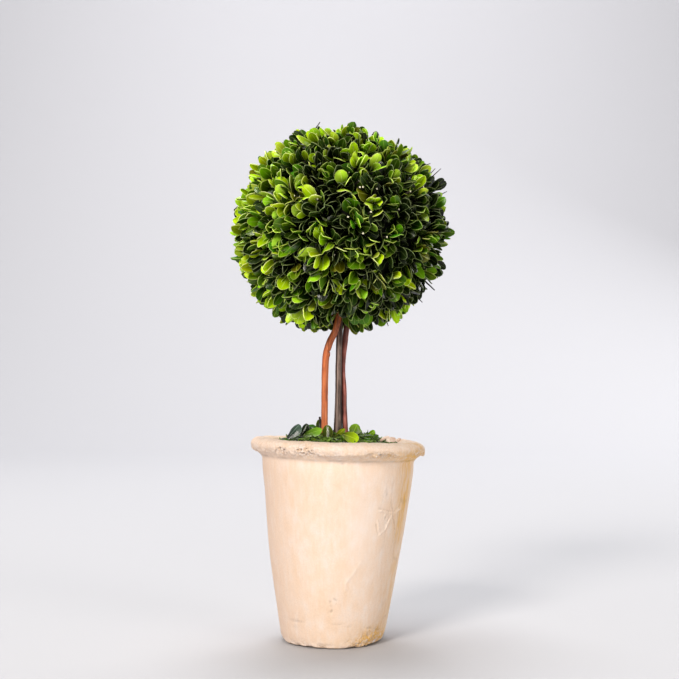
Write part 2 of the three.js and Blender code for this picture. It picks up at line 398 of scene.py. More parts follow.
@dataclass(frozen=True)
class Finish:
    """What every finish shares: a title and a way to make its material once."""

    title: str

    def material(self) -> Material:
        """Give the finish's material, made the first time it is asked for.

        Returns:
            The material.
        """
        known = bpy.data.materials.get(self.title)
        if known is not None:
            return known
        made = bpy.data.materials.new(self.title)
        made.use_nodes = True
        self.lay(made.node_tree, made.node_tree.nodes["Principled BSDF"])
        return made

    def lay(self, tree: Tree, shader: Node) -> None:
        """Lay the finish's nodes in front of the shader.

        Args:
            tree: the material's node tree.
            shader: its surface shader.
        """
        raise NotImplementedError


@dataclass(frozen=True)
class LimewashedClay(Finish):
    """Terracotta thrown by hand, smoothed with a wet rib and brushed over with limewash.

    The wash gives a chalky cream with peach showing through, upright brush streaks and fine cracks,
    ochre where water has run down, and crumbs of bare clay at the rim's lower edge and the foot.
    """

    cream: str = "#efd7c2"
    peach: str = "#ecd0b6"
    rose: str = "#dfc4b0"
    chalk: str = "#f0e1d6"
    ochre: str = "#e4b052"
    crumb: str = "#e4c8ac"
    clay: str = "#ab866c"
    # A dark colour laid as painted shade in holes, dents and under the rim.
    pit_shade_colour: str = "#5d4438"
    blotch_mm: float = 40.0
    streak_mm: float = 10.0
    crack_mm: float = 8.0
    crumb_mm: float = 1.5
    grit_mm: float = 1.3

    def lay(self, tree: Tree, shader: Node) -> None:
        """Lay the wash, then what time did to it with painted shade in its crevices and holes, then its
        dullness and relief.

        Args:
            tree: the material's node tree.
            shader: its surface shader.
        """
        add = partial(add_node, tree)
        place = add("TexCoord").outputs["Object"]
        blotch = add(
            "TexNoise", {"Vector": self.stretched(tree, place, self.blotch_mm, 70.0), "Detail": 3.0}
        )
        brushed = add(
            "TexNoise", {"Vector": self.stretched(tree, place, self.streak_mm, 85.0), "Detail": 2.0}
        )
        grit = add(
            "TexNoise", {"Vector": place, "Scale": 1 / (self.grit_mm * MM), "Detail": 3.0, "Roughness": 0.7}
        )
        wash = self.brushed_wash(tree, blotch, brushed, grit)
        bent = add("TexNoise", {"Vector": place, "Scale": 1 / (3.0 * MM), "Detail": 2.0}).outputs[1]
        warped = add(
            "VectorMath", {0: bent, 1: (0.0016, 0.0016, 0.0016), 2: place}, operation="MULTIPLY_ADD"
        )
        worn, stain, lifted, craze, pits = (
            add("Attribute", attribute_name=name).outputs["Fac"]
            for name in ("worn", "stain", "lifted", "craze", "pits")
        )
        lumps = add("TexVoronoi", {"Vector": warped, "Scale": 1 / (self.crumb_mm * MM)})
        crevice = add("MapRange", {0: lumps.outputs["Distance"], 1: 0.42, 2: 0.72})
        lot = add("SeparateColor", {0: lumps.outputs["Color"]})
        crumbs = add("ValToRGB", {0: lot}, stops=((0.1, self.crumb), (0.45, self.cream), (0.8, self.chalk)))
        # Painted shade: the crevices between crumbs are darkened towards the clay's colour.
        shaded = add("Math", {0: crevice, 1: 0.4}, operation="MULTIPLY")
        crumbs = add("Mix", {0: shaded, 6: crumbs, 7: linear(self.clay)}, data_type="RGBA").outputs[2]
        wash = add("Mix", {0: worn, 6: wash, 7: crumbs}, data_type="RGBA").outputs[2]
        runs = add("MapRange", {0: brushed, 1: 0.66, 2: 0.40, 3: 0.35})
        spared = add("MapRange", {0: lot, 1: 0.35, 2: 0.8, 3: 1.0, 4: 0.35})
        runs = add("Mix", {0: worn, 2: runs, 3: spared}, data_type="FLOAT")
        ochre = add("Math", {0: stain, 1: runs}, operation="MULTIPLY")
        cells = add(
            "TexVoronoi",
            {"Vector": self.stretched(tree, warped, self.crack_mm, 60.0), "Scale": 1.0},
            feature="DISTANCE_TO_EDGE",
        ).outputs["Distance"]
        line = add("MapRange", {0: cells, 1: 0.04, 2: 0.008})
        crack = add("Math", {0: line, 1: craze}, operation="MULTIPLY")
        tinted = add("Math", {0: crack, 1: 0.6}, operation="MULTIPLY")
        # The last layer darkens holes, dents and a line under the rim as painted shade.
        layers = ((ochre, self.ochre), (lifted, self.chalk), (tinted, self.clay), (pits, self.pit_shade_colour))
        for share, colour in layers:
            wash = add("Mix", {0: share, 6: wash, 7: linear(colour)}, data_type="RGBA").outputs[2]
        dull = add("MapRange", {0: brushed, 1: 0.3, 2: 0.7, 3: 0.94, 4: 0.78})
        relief = add("Math", {0: grit, 1: 0.45}, operation="MULTIPLY")
        sunk = add("Math", {0: worn, 1: crevice}, operation="MULTIPLY")
        for raised, share in ((brushed, 0.2), (crack, -0.9), (sunk, -1.4)):
            relief = add("Math", {0: raised, 1: share, 2: relief}, operation="MULTIPLY_ADD")
        bump = add("Bump", {"Height": relief, "Strength": 0.6, "Distance": 0.55 * MM})
        feed(shader, {"Base Color": wash, "Roughness": dull, "Specular IOR Level": 0.25, "Normal": bump})

    def stretched(self, tree: Tree, place: Source, wide_mm: float, tall_mm: float) -> Source:
        """Scale places so that a pattern of size one is this wide and this tall.

        Args:
            tree: the material's node tree.
            place: the places in metres.
            wide_mm: how wide the pattern is.
            tall_mm: how tall the pattern is.

        Returns:
            The scaled places.
        """
        scale = (1 / (wide_mm * MM), 1 / (wide_mm * MM), 1 / (tall_mm * MM))
        return add_node(tree, "Mapping", {"Vector": place, "Scale": scale})

    def brushed_wash(self, tree: Tree, blotch: Source, brushed: Source, grit: Source) -> Source:
        """Lay the wash's own colour.

        Args:
            tree: the material's node tree.
            blotch: slow patches from 0 to 1.
            brushed: upright brush streaks from 0 to 1.
            grit: fine grain from 0 to 1.

        Returns:
            The colour of the wash with its streaks and a rose tint down the left side, partly painted shade.
        """
        add = partial(add_node, tree)
        wash = add(
            "ValToRGB", {0: blotch}, stops=((0.28, self.peach), (0.52, self.cream), (0.80, self.chalk))
        )
        # A rose tint down the pot's left side that also darkens it there: partly painted shade.
        blush = add("Attribute", attribute_name="blush").outputs["Fac"]
        chalky = add("MapRange", {0: brushed, 1: 0.52, 2: 0.78, 4: 0.35})
        darker = add("MapRange", {0: brushed, 1: 0.46, 2: 0.24, 4: 0.45})
        for share, colour in ((blush, self.rose), (chalky, self.chalk), (darker, self.peach)):
            wash = add("Mix", {0: share, 6: wash, 7: linear(colour)}, data_type="RGBA").outputs[2]
        speck = add("MapRange", {0: grit, 1: 0.3, 2: 0.7, 3: 0.94, 4: 1.03})
        return add("Mix", {0: 1.0, 6: wash, 7: speck}, data_type="RGBA", blend_type="MULTIPLY").outputs[2]


@dataclass(frozen=True)
class PlantingFoam(Finish):
    """Dry planting foam and plaster: dark, dusty and crumbly, with no shine at all."""

    dark: str = "#2a2118"
    light: str = "#5a4a38"

    def lay(self, tree: Tree, shader: Node) -> None:
        """Lay crumbs of two browns with their relief.

        Args:
            tree: the material's node tree.
            shader: its surface shader.
        """
        add = partial(add_node, tree)
        place = add("TexCoord").outputs["Object"]
        crumbs = add("TexNoise", {"Vector": place, "Scale": 1 / (2.5 * MM), "Detail": 5.0})
        colour = add("ValToRGB", {0: crumbs}, stops=((0.35, self.dark), (0.7, self.light)))
        bump = add("Bump", {"Height": crumbs, "Strength": 0.8, "Distance": 0.8 * MM})
        feed(shader, {"Base Color": colour, "Roughness": 0.95, "Normal": bump})


@dataclass(frozen=True)
class StemBark(Finish):
    """Bark of a peeled or ridged garden stem, oiled so that it keeps a satin glint.

    Long fibres run up the stem, with darker patches and grooves, and where painted, painted shade along its
    edges and a pale stripe of painted highlight.
    """

    base: str = "#b8683f"
    dark: str = "#6b3320"
    light: str = "#d98f62"
    fibre_mm: float = 0.9
    streak_mm: float = 22.0
    shine: float = 0.42
    relief: float = 0.5

    def lay(self, tree: Tree, shader: Node) -> None:
        """Lay upright fibres, slow patches of colour, shaded grooves with painted shade on the edges, and the
        pale stripe of painted highlight.

        Args:
            tree: the material's node tree.
            shader: its surface shader.
        """
        add = partial(add_node, tree)
        place = add("TexCoord").outputs["Object"]
        fine = 1 / (self.fibre_mm * MM)
        upright = add("Mapping", {"Vector": place, "Scale": (fine, fine, 1 / (self.streak_mm * MM))})
        fibres = add(
            "TexNoise", {"Vector": upright.outputs[0], "Scale": 1.0, "Detail": 4.0, "Roughness": 0.6}
        )
        patches = add("TexNoise", {"Vector": place, "Scale": 1 / (11 * MM), "Detail": 3.0})
        mixed = add("Math", {0: fibres, 1: 0.62, 2: 0.0}, operation="MULTIPLY_ADD")
        mixed = add("Math", {0: patches, 1: 0.38, 2: mixed}, operation="MULTIPLY_ADD")
        colour = add(
            "ValToRGB", {0: mixed}, stops=((0.36, self.dark), (0.50, self.base), (0.66, self.light))
        )
        # Grooves and edges darken, the edges as painted shade; the stripe is a painted highlight.
        for name, tone in (("groove", self.dark), ("stripe", self.light)):
            painted = add("Attribute", attribute_name=name).outputs["Fac"]
            colour = add("Mix", {0: painted, 6: colour, 7: linear(tone)}, data_type="RGBA").outputs[2]
        dull = add("MapRange", {0: fibres, 1: 0.3, 2: 0.7, 3: self.shine + 0.14, 4: self.shine})
        bump = add("Bump", {"Height": fibres, "Strength": self.relief, "Distance": 0.35 * MM})
        feed(shader, {"Base Color": colour, "Roughness": dull, "Normal": bump})


class LeafSide(Enum):
    """Which face of a leaf a skin covers, with where that face's island starts on a map tile."""

    UPPER = 0.04
    UNDER = 0.52
    RIM = 0.0


@dataclass(frozen=True)
class LeafSkin(Finish):
    """Skin of a box leaf kept in glycerine: leathery, waxy above and dull and paler below.

    The midrib and the pale margin are drawn a little wider than life so that they show.
    """

    side: LeafSide = LeafSide.UPPER
    blade: str = "#3c5a14"
    rib: str = "#8fa84a"
    margin: str = "#a9b868"
    gloss: float = 0.2
    wax: float = 0.28
    rib_width: float = 0.09
    rib_share: float = 0.4

    def lay(self, tree: Tree, shader: Node) -> None:
        """Lay the blade's green with its rib, veins, margin and mottling, and painted shade that darkens it
        towards its foot, all on the leaf's own map.

        Args:
            tree: the material's node tree.
            shader: its surface shader.
        """
        add = partial(add_node, tree)
        place = add("UVMap", uv_map=LEAF_MAP)
        tiled = add("VectorMath", {0: place, 1: (TILES, TILES, TILES)}, operation="MULTIPLY")
        number = add("VectorMath", {0: tiled}, operation="FLOOR")
        lot = add("TexWhiteNoise", {"Vector": number}, noise_dimensions="3D")
        tone = add("MapRange", {0: lot.outputs[0], 3: 0.62, 4: 1.38})
        other = add("SeparateColor", {0: lot.outputs[1]})
        hue = add("MapRange", {0: other.outputs[0], 3: 0.48, 4: 0.514})
        full = add("MapRange", {0: other.outputs[1], 3: 0.94, 4: 1.12})
        colour = add(
            "HueSaturation", {"Hue": hue, "Saturation": full, "Value": tone, "Color": linear(self.blade)}
        )
        mottle = add("TexNoise", {"Vector": tiled, "Scale": 5.0, "Detail": 3.0, "Roughness": 0.6})
        shade = add("MapRange", {0: mottle, 1: 0.3, 2: 0.7, 3: 0.86, 4: 1.12})
        colour = add(
            "Mix", {0: 1.0, 6: colour, 7: shade}, data_type="RGBA", blend_type="MULTIPLY"
        ).outputs[2]
        if self.side is LeafSide.RIM:
            feed(shader, {"Base Color": colour, "Roughness": self.gloss})
            return
        local = add("VectorMath", {0: tiled}, operation="FRACTION")
        part = add("SeparateXYZ", {0: local})
        across = add(
            "MapRange",
            {0: part.outputs[0], 1: self.side.value, 2: self.side.value + ISLAND_WIDTH, 3: -1.0},
        )
        across = add("Math", {0: across}, operation="ABSOLUTE")
        along = add("MapRange", {0: part.outputs[1], 1: ISLAND_FOOT, 2: ISLAND_FOOT + ISLAND_HEIGHT})
        slant = add("Math", {0: across, 1: -1.1, 2: along}, operation="MULTIPLY_ADD")
        turns = add("Math", {0: slant, 1: 62.0}, operation="MULTIPLY")
        veins = add("Math", {0: turns}, operation="SINE")
        veined = add("MapRange", {0: veins, 1: 0.3, 4: 0.07})
        colour = add("Mix", {0: veined, 6: colour, 7: linear(self.rib)}, data_type="RGBA").outputs[2]
        # Painted shade: the blade darkens towards its foot, where the leaves around it shade it.
        foot = add("MapRange", {0: along, 1: 0.05, 2: 0.72, 3: 0.06})
        colour = add(
            "Mix", {0: 1.0, 6: colour, 7: foot}, data_type="RGBA", blend_type="MULTIPLY"
        ).outputs[2]
        near = add(
            "MapRange",
            {0: across, 1: self.rib_width, 2: self.rib_width * 0.35, 4: self.rib_share},
            interpolation_type="SMOOTHSTEP",
        )
        colour = add("Mix", {0: near, 6: colour, 7: linear(self.rib)}, data_type="RGBA").outputs[2]
        edge = add("MapRange", {0: across, 1: 0.92, 4: 0.7})
        end = add("MapRange", {0: along, 1: 0.955, 4: 0.6})
        border = add("Math", {0: edge, 1: end}, operation="MAXIMUM")
        colour = add("Mix", {0: border, 6: colour, 7: linear(self.margin)}, data_type="RGBA").outputs[2]
        dull = add("MapRange", {0: mottle, 1: 0.3, 2: 0.7, 3: self.gloss - 0.05, 4: self.gloss + 0.1})
        raised = add("Math", {0: near, 1: 1.2, 2: mottle}, operation="MULTIPLY_ADD")
        raised = add("Math", {0: veins, 1: 0.06, 2: raised}, operation="MULTIPLY_ADD")
        bump = add("Bump", {"Height": raised, "Strength": 0.35, "Distance": 0.3 * MM})
        feed(
            shader,
            {"Base Color": colour, "Roughness": dull, "Specular IOR Level": self.wax, "Normal": bump},
        )


@dataclass(frozen=True)
class Mottled(Finish):
    """A dull natural surface of two colours that blend in patches, such as moss, cut wood or dry peel."""

    dark: str = "#11160a"
    light: str = "#2b3614"
    patch_mm: float = 3.0
    dullness: float = 0.9
    relief: float = 0.6

    def lay(self, tree: Tree, shader: Node) -> None:
        """Lay the two colours by a noise of the named size, with its relief.

        Args:
            tree: the material's node tree.
            shader: its surface shader.
        """
        add = partial(add_node, tree)
        place = add("TexCoord").outputs["Object"]
        patches = add(
            "TexNoise",
            {"Vector": place, "Scale": 1 / (self.patch_mm * MM), "Detail": 4.0, "Roughness": 0.6},
        )
        colour = add("ValToRGB", {0: patches}, stops=((0.36, self.dark), (0.66, self.light)))
        bump = add(
            "Bump", {"Height": patches, "Strength": self.relief, "Distance": 0.25 * self.patch_mm * MM}
        )
        feed(shader, {"Base Color": colour, "Roughness": self.dullness, "Normal": bump})


@dataclass
class ClayPot:
    """The hand-thrown pot: a tall taper with a rolled rim, leaning a little to the right."""

    height: float = 153.0
    foot_radius: float = 38.2
    foot_round: float = 2.4
    neck_radius: float = 58.4
    neck_height: float = 129.0
    belly: float = 1.2
    lip_radius: float = 68.0
    lip_underside: float = 139.6
    lip_widest: float = 145.4
    crest_radius: float = 60.0
    mouth_radius: float = 50.4
    wall: float = 8.0
    floor: float = 10.0
    lean: float = 3.9
    lean_height: float = 117.0
    lean_growth: float = 1.4
    rim_tilt: float = math.radians(2)
    rim_tilt_from: float = 115.0
    segments: int = 90
    finish: LimewashedClay = LimewashedClay("limewashed hand-thrown terracotta")

    def wall_radius(self, height: float) -> float:
        """Give the outer wall's radius between the foot and the neck, in millimetres.

        Args:
            height: how high above the foot, in millimetres.

        Returns:
            The radius there.
        """
        foot = self.foot_radius + self.foot_round * 0.5
        t = (height - self.foot_round) / (self.neck_height - self.foot_round)
        return foot + (self.neck_radius - foot) * t + self.belly * math.sin(math.pi * t)

    def profile(self) -> list[tuple[float, float]]:
        """Give the rings from the foot's flat over the rim to the inner floor, as radius and height.

        Returns:
            Pairs of radius and height in millimetres.
        """
        flat = self.foot_radius - self.foot_round
        rings = [(flat, 0.0)]
        for turn in (0.35, 0.7, 1.0):
            angle = turn * math.pi / 2
            rings.append(
                (flat + 1.5 * self.foot_round * math.sin(angle), self.foot_round * (1 - math.cos(angle)))
            )
        for height in np.linspace(5.0, self.neck_height, 22):
            rings.append((self.wall_radius(height), float(height)))
        neck, lip, crest, mouth = self.neck_radius, self.lip_radius, self.crest_radius, self.mouth_radius
        under, top = self.lip_underside, self.height
        rings += [
            (neck + 0.2, under - 6.0), (neck + 0.3, under - 3.0), (neck + 0.6, under - 1.2),
            (neck + 1.9, under + 0.4), (neck + 4.4, under + 2.5), (lip - 2.7, under + 4.2),
            (lip - 1.1, under + 5.5), (lip - 0.6, self.lip_widest + 2.0), (lip - 0.5, top - 4.2),
            (lip - 1.6, top - 2.2), (lip - 4.2, top - 0.5), (crest + 0.8, top + 0.1),
            (crest - 2.6, top - 0.1), (crest - 6.0, top - 1.6), (mouth + 0.6, top - 4.0),
            (mouth, top - 8.0),
        ]
        for height in (138.0, 120.0, 90.0, 60.0, 30.0, 14.0):
            inner = self.wall_radius(min(height, self.neck_height)) - self.wall
            rings.append((min(inner, self.mouth_radius), height))
        rings.append((self.wall_radius(self.floor) - self.wall - 2, self.floor))
        return rings

    def turn(self) -> Piece:
        """Raise the pot ring by ring from a filled circle, as on a wheel, and round its cage.

        Returns:
            The closed pot, upright and even.
        """
        rings = self.profile()
        pick_nothing()
        bpy.ops.mesh.primitive_circle_add(
            vertices=self.segments, radius=rings[0][0] * MM, fill_type="NGON", location=(0, 0, 0)
        )
        pot = bpy.context.object
        pot.name = "pot_shell"
        with edit_mode():
            for (radius, height), (wider, higher) in itertools.pairwise(rings):
                bpy.ops.mesh.extrude_region_move(
                    TRANSFORM_OT_translate={"value": (0, 0, (higher - height) * MM)}
                )
                scale = wider / radius
                bpy.ops.transform.resize(value=(scale, scale, 1), center_override=(0, 0, higher * MM))
            bpy.ops.mesh.select_all(action="SELECT")
            bpy.ops.mesh.normals_make_consistent(inside=False)
        add_subdivision(pot, 2)
        for area, cuts in (
            ((27, 49, 81, 106), 2), ((-6, 12, 14, 40), 1), ((14, 42, -1, 16), 1), ((-47, -17, 141, 150), 1)
        ):
            self.refine(pot, area, cuts)
        return pot

    def refine(self, pot: Piece, area: tuple[float, float, float, float], cuts: int) -> None:
        """Cut the faces of one area in front finer, so that a small mark can be worked into them.

        Args:
            pot: the pot's mesh object.
            area: its left, right, bottom and top in millimetres.
            cuts: how many cuts each edge gets.
        """
        left, right, bottom, top = (side * MM for side in area)
        pick(pot)
        with edit_mode():
            pick_points(pot, lambda co: co.y < 0 and left < co.x < right and bottom < co.z < top)
            bpy.ops.mesh.subdivide(number_cuts=cuts)

    def hand_thrown(self, points: np.ndarray) -> np.ndarray:
        """Lean the pot's axis and tilt its rim as the source does, on points in millimetres.

        Args:
            points: the upright pot's points.

        Returns:
            The points of the leaning pot.
        """
        climbed = np.clip(points[:, 2] / self.lean_height, 0, 1)
        tilted = eased(points[:, 2], self.rim_tilt_from, self.lip_underside)
        moved = points.copy()
        moved[:, 2] -= math.tan(self.rim_tilt) * points[:, 0] * tilted
        moved[:, 0] += self.lean * climbed**self.lean_growth
        return moved

    def aside(self, points: np.ndarray, degrees: float, radius: float) -> np.ndarray:
        """Give how far round the pot points lie from a bearing.

        Bearings run anticlockwise from the right, so the viewer's side is at -90 degrees.

        Args:
            points: the points, one per row.
            degrees: the bearing.
            radius: the radius at which the way round is measured.

        Returns:
            The way round to each point, in the radius's own unit.
        """
        return turned_from(np.arctan2(points[:, 1], points[:, 0]), degrees) * radius

    def stripe(self, points: np.ndarray, degrees: float, wide: float) -> np.ndarray:
        """Give an upright stripe that fades to both sides of a bearing, its width in radians."""
        return np.exp(-((self.aside(points, degrees, 1.0) / wide) ** 2))

    def rim_spots(self, points: np.ndarray, spots: Iterable[tuple[float, float, float, float]]) -> np.ndarray:
        """Lay soft round spots on the rim.

        Args:
            points: the even pot's points in millimetres.
            spots: the bearing, height, half width and half height of each.

        Returns:
            For each point a number from 0 to 1, which is 1 in the middle of a spot.
        """
        laid = np.zeros(len(points))
        for degrees, height, wide, high in spots:
            spot = (self.aside(points, degrees, self.lip_radius) / wide) ** 2
            laid = np.maximum(laid, np.exp(-spot - ((points[:, 2] - height) / high) ** 2))
        return laid

    def marks(self, points: np.ndarray) -> tuple[np.ndarray, np.ndarray]:
        """Give the small marks that a knock or a finger left on the wall.

        Args:
            points: the even pot's points in millimetres.

        Returns:
            How far each point is pressed in, and how far a lifted flake of wash stands out there.
        """
        x, y, z = points.T
        pressed = np.zeros(len(points))
        for across, high, wide, tall, deep in (
            (-2.6, 35.9, 1.0, 1.3, 0.7), (-2.2, 33.0, 1.0, 1.0, 0.7), (-1.5, 29.0, 1.3, 1.4, 0.75),
            (-26.8, 19.8, 6.0, 0.9, 0.8), (-28.0, 15.0, 3.0, 2.6, 0.3), (4.0, 18.8, 6.0, 0.8, 0.35),
            (11.5, 16.6, 3.0, 0.9, 0.4), (3.1, 137.6, 1.4, 1.3, 0.7), (28.2, 119.6, 0.7, 1.3, 0.4),
            (36.7, 114.8, 0.9, 1.1, 0.8), (36.1, 96.9, 0.8, 1.6, 0.6), (46.2, 96.7, 0.6, 2.0, 0.4),
        ):
            spot = ((x - across) / wide) ** 2 + ((z - high) / tall) ** 2
            pressed += np.where(y < 0, deep * np.exp(-spot), 0)
        ridges = (
            ((31.6, 102.2), (34.2, 101.6), (36.5, 100.6)),
            ((43.6, 99.3), (46.9, 102.0)),
            ((41.6, 99.7), (39.2, 94.4), (37.0, 89.3), (35.0, 86.2), (31.9, 84.2)),
            ((30.8, 95.0), (31.0, 92.0), (31.7, 88.6)),
            ((35.8, 99.0), (34.4, 95.0)),
            ((35.0, 118.4), (35.4, 113.6)),
            ((39.4, 118.0), (39.8, 114.6)),
            ((19.1, 64.6), (13.0, 56.0), (8.4, 49.8), (8.5, 44.9)),
        )
        creases = (
            ((30.3, 103.9), (33.5, 103.5), (38.1, 101.4), (42.9, 101.2), (46.4, 104.2)),
            ((29.8, 92.2), (30.2, 88.0), (31.0, 84.6)),
            ((40.4, 99.0), (38.2, 94.6)),
            ((-0.7, 38.2), (2.2, 36.6), (2.2, 34.2)),
            ((22.0, 15.6), (26.8, 14.2), (31.4, 12.7), (35.5, 10.1)),
        )
        flat = np.stack([x, z], 1)
        wander = 0.8 * unevenness(points, 2.2, 12, 2)
        flake = np.zeros(len(points))
        for lines, raised in ((ridges, True), (creases, False)):
            for start, end in (span for line in lines for span in itertools.pairwise(np.array(line))):
                t = np.clip(((flat - start) @ (end - start)) / ((end - start) @ (end - start)), 0, 1)
                gap = np.linalg.norm(flat - start - t[:, None] * (end - start), axis=1) + wander
                if raised:
                    flake = np.maximum(flake, np.exp(-((gap / 0.75) ** 2)))
                else:
                    pressed = np.maximum(pressed, 0.6 * np.exp(-((gap / 0.5) ** 2)) * (y < 0))
        crumbly = np.clip(0.6 + 1.0 * unevenness(points, 1.9, 13, 2), 0.05, 1.2)
        return pressed * (0.4 + 0.6 * crumbly), flake * (y < 0) * crumbly

    def wear(self, pot: Piece) -> None:
        """Work the hand's unevenness, crumbs, holes, dents and scratches into the clay, and paint them, with
        painted shade in the holes, the dents and a line under the rim.

        Args:
            pot: the even pot, whose points are moved and painted with what its finish reads.
        """
        points = points_of(pot.data) / MM
        normals = normals_of(pot.data)
        x, y, z = points.T
        out = np.hypot(x, y)
        outside = (normals[:, 0] * x + normals[:, 1] * y > 0) | (z > self.height - 6)
        # The hand's slow waves and the rib's upright marks, then the rim's own unevenness.
        push = 0.5 * unevenness(points, 42.0, 1) + 0.30 * unevenness(points, (12.0, 12.0, 95.0), 2, 2)
        push += 0.10 * unevenness(points, 5.0, 3, 2)
        rim = eased(z, self.lip_underside - 2, self.lip_underside + 3)
        push += 0.5 * rim * unevenness(points, (15.0, 15.0, 9.0), 4, 2)
        push += 0.4 * rim * unevenness(points, 4.0, 18, 2)
        # The rolled rim's lower edge is ragged, where slip dried in crumbs and broke off.
        under = np.exp(-(((z - self.lip_underside - 4.6) / 2.0) ** 2))
        under *= eased(out, self.neck_radius + 3.5, self.lip_radius - 2.5)
        ragged = unevenness(points, (4.2, 4.2, 4.2), 5, 3)
        lobes = unevenness(points, (13.0, 13.0, 30.0), 6)
        drop = under * (1.7 * np.clip(ragged, -0.5, 1) + 0.4 * lobes)
        push += under * 1.5 * np.clip(unevenness(points, 3.0, 19, 2), -0.4, 1)
        patch = self.rim_spots(
            points,
            (
                (-129.0, 144.6, 5.0, 3.2), (-110.5, 145.8, 7.5, 4.4), (-60.0, 144.4, 9.0, 2.0),
                (-22.0, 145.0, 12.0, 4.0), (20.0, 144.0, 9.0, 4.0), (95.0, 143.5, 12.0, 4.0),
                (160.0, 143.5, 8.0, 3.5),
            ),
        )
        patch *= eased(out, self.lip_radius - 8, self.lip_radius - 2)
        patch = np.clip(patch * (1.2 + 1.0 * unevenness(points, 4.0, 7, 2)), 0, 1)
        # The foot is gnawed all round and eaten away at its right corner.
        low = 1 - eased(z, 1.0, 8.0)
        gnawed = np.clip(low * (0.55 + 1.3 * unevenness(points, (6.0, 6.0, 4.0), 8, 2)), 0, 1)
        corner = self.aside(points, -43.0, self.foot_radius)
        eaten = np.exp(-((corner / 15) ** 2) - ((z - 4) / 9) ** 2)
        eaten = np.clip(eaten * (1.2 + 1.0 * unevenness(points, 5.0, 9, 3)), 0, 1)
        push -= 0.9 * gnawed + 1.1 * eaten * (0.4 + 1.0 * unevenness(points, 2.8, 10, 2))
        push -= patch * (0.2 + 0.7 * np.clip(unevenness(points, 2.4, 11, 2), -0.3, 1))
        pricks = (
            (-129.3, 147.4, 0.8), (-126.6, 146.0, 0.9), (-116.0, 146.8, 0.8), (-113.5, 147.2, 0.7),
            (-112.0, 144.4, 0.9), (-110.0, 148.2, 0.6), (-108.4, 145.8, 0.7), (-106.6, 146.6, 0.6),
            (-107.2, 143.9, 0.7), (-62.0, 145.2, 0.8), (-24.0, 145.6, 0.9), (-18.0, 144.4, 1.1),
        )
        holes = self.rim_spots(points, ((*prick, prick[2]) for prick in pricks))
        holes *= eased(out, self.lip_radius - 8, self.lip_radius - 4)
        # All of it moves the skin in or out, and only crumbs at the rim's edge hang down.
        pressed, flake = self.marks(points)
        push += 0.75 * flake - 0.9 * pressed - 1.2 * holes
        points = points + normals * (push * outside)[:, None]
        points[:, 2] -= np.clip(drop * outside, -2.0, 2.2)
        points[:, 2] += np.where(outside, 0.45 * eased(z, 143, 151) * unevenness(points, 30.0, 14), 0)
        points[z < 0.02, 2] = 0.0
        points[:, 2] = np.maximum(points[:, 2], 0.0)
        set_points(pot.data, self.hand_thrown(points) * MM)
        # From here on: what the finish reads to stain, wear, crack and lighten the wash, and to darken it as
        # painted shade in holes, dents and under the rim, and partly down the left side.
        right = self.stripe(points, -23.0, 0.24)
        stain = right * (0.4 + 0.55 * eased(z, 70, 90)) * (0.6 + 0.8 * unevenness(points, (6, 6, 40), 15, 2))
        stain += 1.15 * eaten + 0.3 * gnawed * np.exp(-((corner / 40) ** 2))
        lower = rim * (1 - eased(z, 143, 151))
        stain += 0.7 * lower * self.stripe(points, -38.0, 0.6)
        stain += 0.25 * rim * np.clip(unevenness(points, (22, 22, 9), 16, 2), 0, 1)
        stain += 0.15 * np.clip(unevenness(points, (11, 11, 120), 17, 2), 0, 1)
        # The rose tint down the left side, partly painted shade.
        left = self.stripe(points, -160.0, 0.55)
        worn = patch + 0.9 * eaten + 0.7 * gnawed + 0.6 * under * np.clip(ragged + 0.2, 0, 1)
        worn += 0.28 * rim
        soft = (self.aside(points, -68.0, 52.0) / 13) ** 2 + ((z - 92) / 40) ** 2
        chalked = np.exp(-(((z - 2.0) / 2.2) ** 2)) * (0.6 + 0.6 * unevenness(points, 3.0, 29, 2))
        flecked = 1.5 * eaten * np.clip(unevenness(points, 2.6, 33, 2), 0, 1)
        flecked += 0.2 * rim * np.clip(0.6 + unevenness(points, 4.5, 34, 2), 0, 1)
        craze = 0.3 * right + 0.35 * self.stripe(points, 176.0, 0.3)
        craze += 0.5 * np.exp(-((self.aside(points, -42.0, 1.0) / 0.2) ** 2) - ((z - 100) / 22) ** 2)
        # Painted shade: holes and dents are darkened.
        hollow_shade = np.clip(holes * 1.2 - 0.25, 0, 0.85)
        hollow_shade += 0.5 * np.clip(pressed - 0.15, 0, 1)
        # Painted shadow: a thin dark line just under the rim's edge.
        crease = np.exp(-(((z - self.lip_underside - 0.2) / 0.8) ** 2))
        hollow_shade += 0.3 * crease * np.clip(0.5 + unevenness(points, (7, 7, 4), 28, 2), 0, 1)
        for name, values in (
            ("stain", stain),
            ("worn", worn),
            ("craze", craze * (z < self.lip_underside)),
            ("blush", 0.7 * left),
            ("lifted", 0.45 * flake + 0.5 * np.exp(-soft) + 0.5 * chalked + flecked),
            ("pits", hollow_shade),
        ):
            paint(pot.data, name, np.clip(values, 0, 1) * outside)

    def build(self) -> None:
        """Make the pot and set it in the assembly in place of the CAD pot."""
        pot = self.turn()
        self.wear(pot)
        finish_piece(pot, ["pot"], [self.finish.material()], crease=60)


@dataclass
class PottingFill:
    """The plug of foam and plaster under the litter, which the CAD solid gives as it is."""

    finish: PlantingFoam = PlantingFoam("dry planting foam")

    def dress(self) -> None:
        """Give the CAD plug its crumbly material."""
        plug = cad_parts["potting_fill"]
        plug.data.materials.clear()
        plug.data.materials.append(self.finish.material())
        log.info("potting_fill: dressed")


